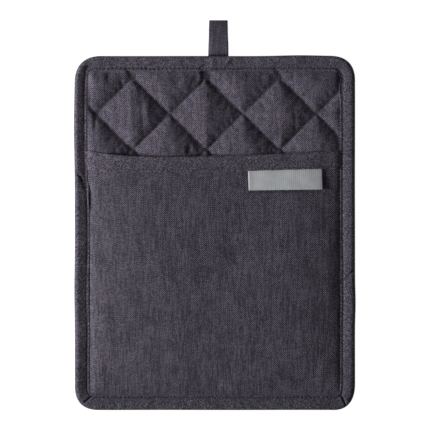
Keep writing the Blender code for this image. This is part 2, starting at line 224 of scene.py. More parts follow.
def border_loop(rows: int, columns: int) -> Array:
    """Point numbers round a grid's border, counterclockwise."""
    index = np.arange(rows * columns).reshape(rows, columns)
    return np.concatenate([index[0, :-1], index[:-1, -1], index[-1, :0:-1], index[:0:-1, 0]])


def slab_object(name: str, front: Array, back: Array, uv: Array, bulge: float,
                wear_and_shade: Array | None = None) -> Object:
    """Make a closed piece from the grids of its two sides, with a rounded edge.

    Args:
        name: of the piece.
        front: rows by columns of points.
        back: the same points on the other side.
        uv: flat coordinates of the grid's points.
        bulge: how far the edge stands out past the grids.
        wear_and_shade: of each grid point, as in new_object.

    Returns:
        The new object.
    """
    rows, columns = front.shape[:2]
    count = rows * columns
    quads = grid_faces(rows, columns)
    loop = border_loop(rows, columns)
    middle = ((front + back) / 2).reshape(-1, 3)
    index = np.arange(count).reshape(rows, columns)
    inner = index[1:-1, 1:-1]
    inside = inner[np.clip(loop // columns - 1, 0, rows - 3),
                   np.clip(loop % columns - 1, 0, columns - 3)]
    outward = middle[loop] - middle[inside]
    outward /= np.maximum(np.linalg.norm(outward, axis=1, keepdims=True), 1e-9)
    rim = middle[loop] + outward * bulge
    rim_index = 2 * count + np.arange(len(loop))
    after, rim_after = np.roll(loop, -1), np.roll(rim_index, -1)
    upper = np.stack([rim_index, rim_after, after, loop], axis=-1)
    lower = np.stack([loop + count, after + count, rim_after, rim_index], axis=-1)
    faces = np.concatenate([quads, quads[:, ::-1] + count, upper, lower])
    flat = uv.reshape(-1, 2)
    point_uv = np.concatenate([flat, flat, flat[loop]])
    tone_shift = np.zeros(count) if wear_and_shade is None else wear_and_shade.reshape(-1)
    vertices = np.concatenate([front.reshape(-1, 3), back.reshape(-1, 3), rim])
    return new_object(name, vertices, faces, point_uv[faces].reshape(-1, 2),
                      np.concatenate([tone_shift, tone_shift, tone_shift[loop]]))


def sheet_object(name: str, points: Array, uv: Array, thickness: float,
                 wear_and_shade: Array | None = None) -> Object:
    """Make a sheet of cloth from the grid of its middle, half its thickness to each side.

    Args:
        name: of the piece.
        points: rows by columns of points.
        uv: their flat coordinates.
        thickness: of the cloth.
        wear_and_shade: of each point, as in new_object.

    Returns:
        The new object.
    """
    bulge_share = 0.45  # of the thickness, by which the rounded edge stands out
    across = np.gradient(points, axis=1)
    along = np.gradient(points, axis=0)
    normal = np.cross(across, along)
    normal /= np.maximum(np.linalg.norm(normal, axis=-1, keepdims=True), 1e-12)
    half = normal * thickness / 2
    return slab_object(name, points + half, points - half, uv, bulge_share * thickness, wear_and_shade)


def flat_lengths(points: Array, axis: int) -> Array:
    """Distance walked along a grid's rows or columns: the cloth's own flat coordinate.

    Args:
        points: grid or line of points.
        axis: 0 to walk from row to row, 1 to walk along a row.

    Returns:
        The distance to each point.
    """
    steps = np.linalg.norm(np.diff(points, axis=axis), axis=-1)
    walked = np.cumsum(steps, axis=axis)
    first = np.zeros_like(np.take(walked, [0], axis=axis))
    return np.concatenate([first, walked], axis=axis)


def finish_piece(piece: Object, material: Material, slot: str, *nodes: str) -> None:
    """Give a piece its material, and say what it is fixed to and stands for.

    Args:
        piece: the shaped piece.
        material: its finish.
        slot: not used.
        nodes: the solids that it replaces.
    """
    piece.data.materials.append(material)
    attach(piece, "root")
    if nodes:
        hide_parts(*nodes)
    LOG.info("%s: %d faces", piece.name, len(piece.data.polygons))


# ---------------------------------------------------------------- finishes
def linear_colour(srgb: str) -> tuple[float, float, float, float]:
    """Turn an sRGB hex colour into a shader's linear values.

    Args:
        srgb: the colour, as a hash sign and six digits.

    Returns:
        Red, green, blue and alpha.
    """
    channels = [int(srgb[i:i + 2], 16) / 255 for i in (1, 3, 5)]
    linear = [c / 12.92 if c <= 0.04045 else ((c + 0.055) / 1.055) ** 2.4 for c in channels]
    return (*linear, 1.0)


def set_node(tree: Tree, node: Node, settings: dict, links: dict) -> None:
    """Set a shader node up.

    Args:
        tree: the material's node tree.
        node: that is set up.
        settings: values for its properties, or for its inputs by name or number.
        links: sockets for its inputs, by name or number, or nodes for their first socket.
    """
    for key, value in settings.items():
        if isinstance(key, str) and hasattr(node, key):
            setattr(node, key, value)
        else:
            node.inputs[key].default_value = value
    for key, source in links.items():
        socket = source.outputs[0] if isinstance(source, Node) else source
        tree.links.new(socket, node.inputs[key])


def add_node(tree: Tree, kind: str, settings: dict | None = None,
             links: dict | None = None) -> Node:
    """Add one shader node.

    Args:
        tree: the material's node tree.
        kind: the node's type, without its first part, ShaderNode.
        settings: as set_node takes them.
        links: the same.

    Returns:
        The new node.
    """
    node = tree.nodes.new("ShaderNode" + kind)
    set_node(tree, node, settings or {}, links or {})
    return node


def new_material(name: str) -> tuple[Material, Node]:
    """Make a material that holds a shader and nothing else yet.

    Args:
        name: of the material.

    Returns:
        The material and its shader.
    """
    material = bpy.data.materials.new(name)
    material.use_nodes = True
    return material, material.node_tree.nodes["Principled BSDF"]


@dataclass(frozen=True)
class Linen:
    """Yarn-dyed linen in plain weave, washed soft.

    Its flax threads are uneven in thickness and shade. Each crossing shows the thread that
    lies on top, so the cloth looks peppered close to, and streaked along its threads. A grain
    is how fast a pattern changes: for each thread across, and for each thread along.
    """

    name: str  # of the material
    # sRGB colours from the darkest thread to the lightest slub
    shades: tuple[str, ...] = ("#030204", "#19141D", "#2E2833", "#443F48", "#58525E")
    tint: str = "#2A2B34"  # sRGB colour that the dye leans to in patches
    tint_share: float = 0.45  # how far it leans there at most
    tint_grain: float = 0.035  # of those patches
    tone: float = 0.5  # the usual thread's place among the shades, from 0 to 1
    turn: float = 0.0  # of the threads against the piece's edges, in degrees
    # from one thread to the next, as drawn
    thread_mm: float = 0.785  # really about 0.6: drawn as coarse as one pixel of the view
    warp_contrast: float = 1.55  # between one thread that runs up the cloth and the next
    warp_grain: tuple[float, float] = (7.31, 0.055)  # of those threads, each even along its length
    weft_contrast: float = 1.00  # between one thread that runs across and the next
    weft_grain: tuple[float, float] = (0.07, 5.73)  # of those threads
    speck_contrast: float = 0.46  # between one crossing and the next
    check_contrast: float = 0.50  # between the threads up the cloth and those across
    streak_contrast: float = 0.22  # of bands of like threads that run up the cloth
    streak_grain: tuple[float, float] = (0.30, 0.011)  # of those bands
    blotch_contrast: float = 0.42  # of the uneven dye
    blotch_grain: float = 0.045  # of its patches
    wear_and_shade_contrast: float = 0.22  # of rubbing, paler, and of painted shade, darker
    wander: float = 0.06  # how far a thread strays from its line, in threads
    wander_grain: float = 0.07  # of that straying
    relief: float = 0.00010  # of the threads, in metres
    slub_relief: float = 0.6  # how much a pale, thick thread stands out past the others
    sheen: float = 0.10  # of the fine hairs on the cloth

    def material(self) -> Material:
        """Make the material.

        Returns:
            The new material.
        """
        material, shader = new_material(self.name)
        tree = material.node_tree
        threads = self._threads(tree)
        tone = self._tone(tree, threads)
        ramp = add_node(tree, "ValToRGB", links={0: tone})
        self._fill_ramp(ramp.color_ramp)
        # in patches the dye leans to blue, as that of washed dark linen does
        dye = add_node(tree, "TexNoise", {"Scale": self.tint_grain, "Detail": 3.0},
                       {"Vector": threads["flat"]})
        share = add_node(tree, "Math", {"operation": "MULTIPLY", 1: self.tint_share}, {0: dye})
        tinted = add_node(tree, "Mix", {"data_type": "RGBA", 7: linear_colour(self.tint)},
                          {"Factor": share, 6: ramp})
        height = self._height(tree, threads, tone)
        bump = add_node(tree, "Bump", {"Strength": 1.0, "Distance": self.relief},
                        {"Height": height})
        # flax is matt, and its fine hairs catch the light that only grazes the cloth
        set_node(tree, shader,
                 {"Roughness": 0.88, "IOR": 1.46, "Specular IOR Level": 0.25,
                  "Sheen Weight": self.sheen, "Sheen Roughness": 0.5,
                  "Sheen Tint": linear_colour("#C9C2D2")},
                 {"Base Color": tinted.outputs[2], "Normal": bump})
        return material

    def _fill_ramp(self, ramp: bpy.types.ColorRamp) -> None:
        """Spread the shades evenly over a colour ramp.

        Args:
            ramp: the colour ramp of the material.
        """
        while len(ramp.elements) < len(self.shades):
            ramp.elements.new(0.5)
        for index, (element, shade) in enumerate(zip(ramp.elements, self.shades)):
            element.position = index / (len(self.shades) - 1)
            element.color = linear_colour(shade)

    def _threads(self, tree: Tree) -> dict[str, Socket]:
        """Number the threads from the piece's flat coordinates.

        Args:
            tree: the material's node tree.

        Returns:
            Sockets for the flat place in threads, each thread's number, the place across
            and along, and which thread is on top.
        """
        per_metre = 1.0 / (self.thread_mm * MM)
        flat = add_node(tree, "UVMap", {"uv_map": UV_NAME})
        counted = add_node(tree, "Mapping",
                           {"Scale": (per_metre, per_metre, 1.0),
                            "Location": (-self.wander / 2, -self.wander / 2, 0.0),
                            "Rotation": (0.0, 0.0, math.radians(self.turn))},
                           {"Vector": flat})
        wander = add_node(tree, "TexNoise", {"Scale": self.wander_grain, "Detail": 1.0},
                          {"Vector": counted})
        laid = add_node(tree, "VectorMath",
                        {"operation": "MULTIPLY_ADD", 1: (self.wander, self.wander, 0.0)},
                        {0: wander.outputs["Color"], 2: counted})
        place = add_node(tree, "SeparateXYZ", links={0: laid})
        across, along = place.outputs["X"], place.outputs["Y"]
        column = add_node(tree, "Math", {"operation": "FLOOR"}, {0: across})
        row = add_node(tree, "Math", {"operation": "FLOOR"}, {0: along})
        both = add_node(tree, "Math", {"operation": "ADD"}, {0: column, 1: row})
        top = add_node(tree, "Math", {"operation": "FLOORED_MODULO", 1: 2.0}, {0: both})
        return {"flat": counted.outputs[0], "x": across, "y": along,
                "column": column.outputs[0], "row": row.outputs[0], "top": top.outputs[0]}

    def _tone(self, tree: Tree, threads: dict[str, Socket]) -> Socket:
        """Work out how light each crossing is, from 0 to 1.

        Args:
            tree: the material's node tree.
            threads: the sockets that _threads gave.

        Returns:
            The socket with the tone.
        """
        shades = []
        for across, along, grain, contrast, check in (
                (threads["column"], threads["y"], self.warp_grain, self.warp_contrast,
                 self.check_contrast),
                (threads["x"], threads["row"], self.weft_grain, self.weft_contrast,
                 -self.check_contrast)):
            place = add_node(tree, "CombineXYZ", links={"X": across, "Y": along})
            scaled = add_node(tree, "VectorMath", {"operation": "MULTIPLY", 1: (*grain, 0.0)},
                              {0: place})
            uneven = add_node(tree, "TexNoise",
                              {"noise_dimensions": "2D", "Scale": 1.0, "Detail": 2.0},
                              {"Vector": scaled})
            shades.append(add_node(tree, "Math",
                                   {"operation": "MULTIPLY_ADD", 1: contrast,
                                    2: 0.5 * (check - contrast)}, {0: uneven}))
        shown = add_node(tree, "Mix", {"data_type": "FLOAT"},
                         {"Factor": threads["top"], 2: shades[0], 3: shades[1]})
        crossing = add_node(tree, "CombineXYZ", links={"X": threads["column"],
                                                       "Y": threads["row"]})
        speck = add_node(tree, "TexWhiteNoise", {"noise_dimensions": "2D"}, {"Vector": crossing})
        band = add_node(tree, "VectorMath",
                        {"operation": "MULTIPLY", 1: (*self.streak_grain, 0.0)},
                        {0: threads["flat"]})
        streak = add_node(tree, "TexNoise",
                          {"noise_dimensions": "2D", "Scale": 1.0, "Detail": 2.0},
                          {"Vector": band})
        blotch = add_node(tree, "TexNoise", {"Scale": self.blotch_grain, "Detail": 3.0},
                          {"Vector": threads["flat"]})
        parts = ((speck, self.speck_contrast), (streak, self.streak_contrast),
                 (blotch, self.blotch_contrast))
        # the per-point layer: paler with rubbing, darker with painted shade
        shift_attribute = add_node(tree, "Attribute", {"attribute_name": WEAR_AND_SHADE_NAME})
        middle = self.tone - 0.5 * sum(contrast for _, contrast in parts)
        tone = add_node(tree, "Math",
                        {"operation": "MULTIPLY_ADD", 1: self.wear_and_shade_contrast, 2: middle},
                        {0: shift_attribute.outputs["Fac"]})
        for part, contrast in parts:
            tone = add_node(tree, "Math", {"operation": "MULTIPLY_ADD", 1: contrast},
                            {0: part, 2: tone})
        return add_node(tree, "Math", {"operation": "ADD"}, {0: shown, 1: tone}).outputs[0]

    def _height(self, tree: Tree, threads: dict[str, Socket], tone: Socket) -> Socket:
        """Raise each thread where it passes over the other, a slub most.

        Args:
            tree: the material's node tree.
            threads: the sockets that _threads gave.
            tone: the socket that _tone gave.

        Returns:
            The socket with the height.
        """
        warp, weft = (add_node(tree, "Math", {"operation": "PINGPONG", 1: 0.5}, {0: across})
                      for across in (threads["x"], threads["y"]))
        over = add_node(tree, "Math", {"operation": "MULTIPLY"}, {0: warp, 1: weft})
        rounded = add_node(tree, "Math", {"operation": "POWER", 1: 0.5}, {0: over})
        raised = add_node(tree, "Math", {"operation": "MULTIPLY_ADD", 1: self.slub_relief},
                          {0: tone, 2: rounded})
        return raised.outputs[0]


@dataclass(frozen=True)
class Ribbon:
    """Woven polyester satin ribbon: its dense long floats give fine ribs and a soft gloss."""

    name: str = "woven satin ribbon"  # of the material
    colour: str = "#707376"  # sRGB colour between two ribs
    pale: str = "#8B8D90"  # sRGB colour of painted highlight on rib tops and painted sheen
    # from one rib to the next, as drawn
    rib_mm: float = 1.6  # really about 0.3: drawn as coarse as the view needs
    rib_highlight_contrast: float = 0.35  # of the painted highlight on the ribs
    sheen_patch_grain: float = 0.16  # of the painted sheen patches, for each rib
    relief: float = 0.00008  # of the ribs, in metres

    def material(self) -> Material:
        """Make the material.

        Returns:
            The new material.
        """
        material, shader = new_material(self.name)
        tree = material.node_tree
        per_metre = 1 / (self.rib_mm * MM)
        flat = add_node(tree, "UVMap", {"uv_map": UV_NAME})
        scaled = add_node(tree, "Mapping", {"Scale": (per_metre, per_metre, 1.0)},
                          {"Vector": flat})
        # ribs from edge to edge, a little uneven, as the floats of a woven ribbon are
        ribs = add_node(tree, "TexWave",
                        {"wave_type": "BANDS", "bands_direction": "X", "Scale": ONE_BAND,
                         "Distortion": 0.6, "Detail": 1.0}, {"Vector": scaled})
        uneven = add_node(tree, "TexNoise", {"Scale": self.sheen_patch_grain, "Detail": 3.0},
                          {"Vector": scaled})
        mixed = add_node(tree, "Math", {"operation": "MULTIPLY_ADD", 1: self.rib_highlight_contrast},
                         {0: ribs.outputs["Fac"], 2: uneven})
        # pale rib tops are painted highlight, pale noise patches painted sheen
        ramp = add_node(tree, "ValToRGB", links={0: mixed})
        ramp.color_ramp.elements[0].position = 0.3
        ramp.color_ramp.elements[0].color = linear_colour(self.colour)
        ramp.color_ramp.elements[1].color = linear_colour(self.pale)
        bump = add_node(tree, "Bump", {"Strength": 0.5, "Distance": self.relief},
                        {"Height": mixed})
        set_node(tree, shader, {"Roughness": 0.48, "IOR": 1.5, "Sheen Weight": 0.15},
                 {"Base Color": ramp, "Normal": bump})
        return material


@dataclass(frozen=True)
class SewingThread:
    """Spun polyester thread, dyed to the cloth: two plies twisted, with a dull gloss."""

    name: str = "spun polyester sewing thread"  # of the material
    dark: str = "#110F14"  # sRGB colour between the plies, painted shade
    light: str = "#29252E"  # sRGB colour on top of a ply, painted highlight
    ply_mm: float = 0.314  # from one ply to the next
    twist: float = 38.0  # of the plies against the thread, in degrees
    relief: float = 0.0001  # of the plies, in metres

    def material(self) -> Material:
        """Make the material.

        Returns:
            The new material.
        """
        material, shader = new_material(self.name)
        tree = material.node_tree
        per_metre = 1 / (self.ply_mm * MM)
        flat = add_node(tree, "UVMap", {"uv_map": UV_NAME})
        turned = add_node(tree, "Mapping",
                          {"Scale": (per_metre, per_metre, 1.0),
                           "Rotation": (0.0, 0.0, math.radians(self.twist))},
                          {"Vector": flat})
        # slanting bands, so that each stitch shows its plies as a fine rope does
        plies = add_node(tree, "TexWave",
                         {"wave_type": "BANDS", "bands_direction": "X", "Scale": ONE_BAND,
                          "Distortion": 0.4}, {"Vector": turned})
        # dark between the plies is painted shade, light on their tops painted highlight
        ramp = add_node(tree, "ValToRGB", links={0: plies.outputs["Fac"]})
        ramp.color_ramp.elements[0].color = linear_colour(self.dark)
        ramp.color_ramp.elements[1].color = linear_colour(self.light)
        bump = add_node(tree, "Bump", {"Strength": 0.6, "Distance": self.relief},
                        {"Height": plies.outputs["Fac"]})
        set_node(tree, shader, {"Roughness": 0.6}, {"Base Color": ramp, "Normal": bump})
        return material


@dataclass(frozen=True)
class Sweep:
    """A matt white studio sweep, lit so evenly that shadows nearly vanish on it."""

    name: str = "matt white studio sweep"  # of the material
    colour: str = "#FFFFFF"  # sRGB colour of its glow
    glow: float = 0.97  # its strength, just under plain white
    under: str = "#5A5A5A"  # sRGB colour that the lights and shadows fall on

    def material(self) -> Material:
        """Make the material.

        Returns:
            The new material.
        """
        material, shader = new_material(self.name)
        tree = material.node_tree
        # a trace of grain, as painted board has
        grain = add_node(tree, "TexNoise", {"Scale": 900.0, "Detail": 2.0})
        bump = add_node(tree, "Bump", {"Strength": 0.05, "Distance": 0.0002}, {"Height": grain})
        set_node(tree, shader,
                 {"Base Color": linear_colour(self.under), "Roughness": 0.9,
                  "Emission Color": linear_colour(self.colour), "Emission Strength": self.glow},
                 {"Normal": bump})
        return material


# ---------------------------------------------------------------- the bound outline
@dataclass(frozen=True)
class Corner:
    """One rounded corner."""

    side_x: int  # +1 on the right, -1 on the left
    side_y: int  # +1 above, -1 below
    reach_x: float  # how far it rounds off the edge above or below it
    reach_y: float  # how far it rounds off the side


@dataclass(frozen=True)
class Bow:
    """A stretch where the edge stands a little further out. All sizes are millimetres."""

    middle: tuple[float, float]  # x and y of its middle
    reach: float  # from there to where it has mostly gone
    out: float  # how far the edge stands out in the middle


@dataclass(frozen=True)
class Stations:
    """Places along the outline, counterclockwise from the right side."""

    place: Array  # x and y of each
    inward: Array  # unit direction across the edge, inward
    along: Array  # distance walked to each
    length: float  # of the whole outline


@dataclass(frozen=True)
class Outline:
    """The holder's outer edge on the plan, and the width of the strip that binds it."""

    low: tuple[float, float]  # lowest x and y of the bound edge
    high: tuple[float, float]  # highest x and y
    corners: tuple[Corner, ...] = (  # counterclockwise from the upper right
        Corner(+1, +1, 0.0205, 0.0205),
        Corner(-1, +1, 0.0220, 0.0220),
        Corner(-1, -1, 0.0195, 0.0195),
        Corner(+1, -1, 0.0180, 0.0220),
    )
    power: float = 2.5  # of the corners' superellipses
    wave: float = 0.0001  # how far the sewn edge wanders inward
    wave_length: float = 0.105  # of that wander
    bows: tuple[Bow, ...] = (  # where the wadding pushes the edge further out
        Bow((-109.9, 68.0), 32.0, 0.82),
        Bow((-109.9, -58.0), 22.0, 0.50),
        Bow((109.9, -69.0), 14.0, 0.50),
        Bow((66.0, 125.0), 22.0, 0.62),
    )
    band: float = 0.0118  # width of the strip on the front
    band_left: float = 0.0120  # the same down the left side
    band_left_top: float = 0.0103  # the same there above the step
    left_step_y: float = 0.018  # where the left side's strip begins to narrow
    left_step_length: float = 0.012  # over which it narrows

    @property
    def half_width(self) -> float:
        """Half the bound width."""
        return (self.high[0] - self.low[0]) / 2

    @property
    def half_length(self) -> float:
        """Half the bound length."""
        return (self.high[1] - self.low[1]) / 2

    @property
    def middle_y(self) -> float:
        """Middle of the bound length."""
        return (self.high[1] + self.low[1]) / 2

    def band_width(self, x: Array, y: Array) -> Array:
        """Width of the binding on the front at places of the outer edge.

        Args:
            x: places across.
            y: places along.

        Returns:
            The width at each place.
        """
        narrow = smooth_step((y - self.left_step_y) / self.left_step_length)
        left = self.band_left + (self.band_left_top - self.band_left) * narrow
        reach = self.corners[1].reach_x
        leftness = smooth_step((-x - self.half_width + reach) / reach)
        return self.band + (left - self.band) * leftness

    def side_reach(self, y: Array, inset: float, side: int) -> Array:
        """How far the edge, moved inward, reaches to one side.

        Args:
            y: places along the holder.
            inset: how far the edge is moved inward.
            side: +1 for the right side, -1 for the left.

        Returns:
            The distance from the middle line at each place.
        """
        reach = np.full(np.shape(y), self.half_width - inset)
        for corner in self.corners:
            if corner.side_x == side:
                start = self.half_length - corner.reach_y
                past = (corner.side_y * (y - self.middle_y) - start) / (corner.reach_y - inset)
                past = np.clip(past, 0.0, 1.0)
                rounded = 1 - (1 - past ** self.power) ** (1 / self.power)
                reach = reach - (corner.reach_x - inset) * rounded
        return reach

    def inner_distances(self, x: Array, y: Array) -> tuple[Array, Array, Array, Array]:
        """Distances from the binding's inner edge, above 0 inside it.

        Args:
            x: places across.
            y: places along.

        Returns:
            The distances from its left, right, top and bottom stretch.
        """
        edge = np.full(np.shape(y), self.half_width)
        left_edge = self.band_width(-edge, y) - self.half_width
        return (x - left_edge, self.half_width - self.band - x,
                self.high[1] - self.band - y, y - self.low[1] - self.band)

    def _polyline(self) -> Array:
        """Trace the edge in closely spaced points.

        Returns:
            The points, counterclockwise, without the bows.
        """
        corner_steps, side_steps = 60, 300
        quarters = []
        for quarter, corner in enumerate(self.corners):
            angle = math.pi / 2 * (quarter + np.linspace(0, 1, corner_steps + 1))
            across = np.abs(np.cos(angle)) ** (2 / self.power)
            along = np.abs(np.sin(angle)) ** (2 / self.power)
            middle_x = corner.side_x * (self.half_width - corner.reach_x)
            middle_y = self.middle_y + corner.side_y * (self.half_length - corner.reach_y)
            quarters.append(np.stack([middle_x + corner.side_x * corner.reach_x * across,
                                      middle_y + corner.side_y * corner.reach_y * along], -1))
        parts = []
        for index, quarter_points in enumerate(quarters):
            start, end = quarter_points[-1], quarters[(index + 1) % len(quarters)][0]
            length = math.dist(start, end)
            inward = np.array([start[1] - end[1], end[0] - start[0]]) / length
            share = np.arange(1, side_steps)[:, None] / side_steps
            turn = 2 * np.pi * share * length / self.wave_length
            shift = inward * self.wave * (0.5 - 0.5 * np.cos(turn))
            parts += [quarter_points, start + (end - start) * share + shift]
        return np.concatenate(parts)

    def stations(self, spacing: float) -> Stations:
        """Space places evenly along the edge, each with its inward direction.

        Args:
            spacing: wanted from one place to the next.

        Returns:
            The places.
        """
        points = self._polyline()
        closed = np.concatenate([points, points[:1]])
        walked = flat_lengths(closed, 0)
        count = round(walked[-1] / spacing)
        along = np.arange(count) * walked[-1] / count
        place = np.stack([np.interp(along, walked, closed[:, k]) for k in (0, 1)], axis=-1)
        beside = 3  # places to each side that give the direction
        run = np.roll(place, -beside, axis=0) - np.roll(place, beside, axis=0)
        run /= np.linalg.norm(run, axis=1, keepdims=True)
        inward = np.stack([-run[:, 1], run[:, 0]], -1)
        for bow in self.bows:
            away = np.linalg.norm(place - np.array(bow.middle) * MM, axis=1) / (bow.reach * MM)
            place = place - inward * (bow.out * MM * np.exp(-away ** 2))[:, None]
        return Stations(place, inward, along, float(walked[-1]))


# ---------------------------------------------------------------- sewing
@dataclass(frozen=True)
class Stitch:
    """One machine stitch, modelled once and laid many times in rows."""

    thread: Material  # its material
    length: float = 0.0029  # from one needle hole to the next
    thickness: float = 0.00040  # of the thread
    gap: float = 0.0004  # between one stitch's end and the next one's start, inside the cloth
    dip: float = 1.1  # how far its ends go down into the cloth, in thicknesses
    # its height where the thread's pull presses it, as a share of its thickness
    flatness: float = 0.7
    # of the flat coordinates from one stitch to the next, so that their plies differ
    shift: tuple[float, float] = (0.00013, 0.00031)

    def _model(self) -> tuple[Array, list[tuple[int, ...]], Array]:
        """Model one stitch along X, its two ends dipping into the cloth.

        Returns:
            Its points for a unit length and unit thickness, its faces, and a flat
            coordinate for each corner of each face.
        """
        bpy.ops.object.select_all(action="DESELECT")
        bpy.ops.mesh.primitive_uv_sphere_add(segments=6, ring_count=6, radius=0.5)
        bead = bpy.context.object
        bpy.ops.object.mode_set(mode="EDIT")
        bpy.ops.mesh.select_all(action="SELECT")
        bpy.ops.transform.rotate(value=math.pi / 2, orient_axis="Y",
                                 center_override=(0.0, 0.0, 0.0))
        bpy.ops.object.mode_set(mode="OBJECT")
        mesh = bead.data
        points = np.array([vert.co[:] for vert in mesh.vertices])
        points[:, 2] -= self.dip * (2 * np.abs(points[:, 0])) ** 3
        uvs = [tuple(corner.vector) for corner in mesh.uv_layers[0].uv]
        corners = [[(mesh.loops[index].vertex_index, uvs[index]) for index in face.loop_indices]
                   for face in mesh.polygons]
        # sorted, because the bead's faces come in another order at each run
        corners = sorted(face[face.index(min(face)):] + face[:face.index(min(face))]
                         for face in corners)
        faces = [tuple(vertex for vertex, _ in face) for face in corners]
        flat = np.array([uv for face in corners for _, uv in face])
        flat = flat * (math.pi * self.thickness, self.length)
        bpy.data.objects.remove(bead)
        bpy.data.meshes.remove(mesh)
        return points, faces, flat

    def sew(self, name: str, begins: Array, ends: Array, up: float, slot: str) -> None:
        """Lay stitches as one joined mesh.

        Args:
            name: of the piece.
            begins: where each stitch starts, on the cloth's surface.
            ends: where each one ends.
            up: +1 where they show on a cloth's front, -1 on its back.
            slot: name of the cloth's material slot, handed on to finish_piece.
        """
        points, faces, flat = self._model()
        run = ends - begins
        length = np.linalg.norm(run, axis=1, keepdims=True)
        axis = run / length
        side = np.cross(np.array([0.0, 0.0, up]), axis)
        side /= np.linalg.norm(side, axis=1, keepdims=True)
        out = np.cross(axis, side)
        middle = (begins + ends) / 2
        height = self.thickness * self.flatness
        laid = (middle[:, None] + points[None, :, 0:1] * (axis * length)[:, None]
                + points[None, :, 1:2] * (side * self.thickness)[:, None]
                + points[None, :, 2:3] * (out * height)[:, None])
        mesh = bpy.data.meshes.new(name)
        count, size = len(middle), len(points)
        joined = [tuple(vertex + index * size for vertex in face)
                  for index in range(count) for face in faces]
        mesh.from_pydata(laid.reshape(-1, 3).tolist(), [], joined)
        layer = mesh.uv_layers.new(name=UV_NAME)
        shift = np.arange(count)[:, None, None] * np.array(self.shift)
        layer.uv.foreach_set("vector", (flat[None] + shift).astype(np.float32).ravel())
        mesh.shade_smooth()
        obj = bpy.data.objects.new(name, mesh)
        bpy.context.scene.collection.objects.link(obj)
        finish_piece(obj, self.thread, slot)

    def along(self, line: Array) -> tuple[Array, Array]:
        """Space stitches along a line of points.

        Args:
            line: points of the seam.

        Returns:
            Where each stitch begins and where it ends.
        """
        walked = flat_lengths(line, 0)
        pitch = self.length + self.gap
        starts = np.arange(self.gap, walked[-1] - self.length, pitch)

        def at(distance: Array) -> Array:
            """Points of the line at distances along it."""
            return np.stack([np.interp(distance, walked, line[:, k]) for k in range(3)], axis=-1)

        return at(starts), at(starts + self.length)


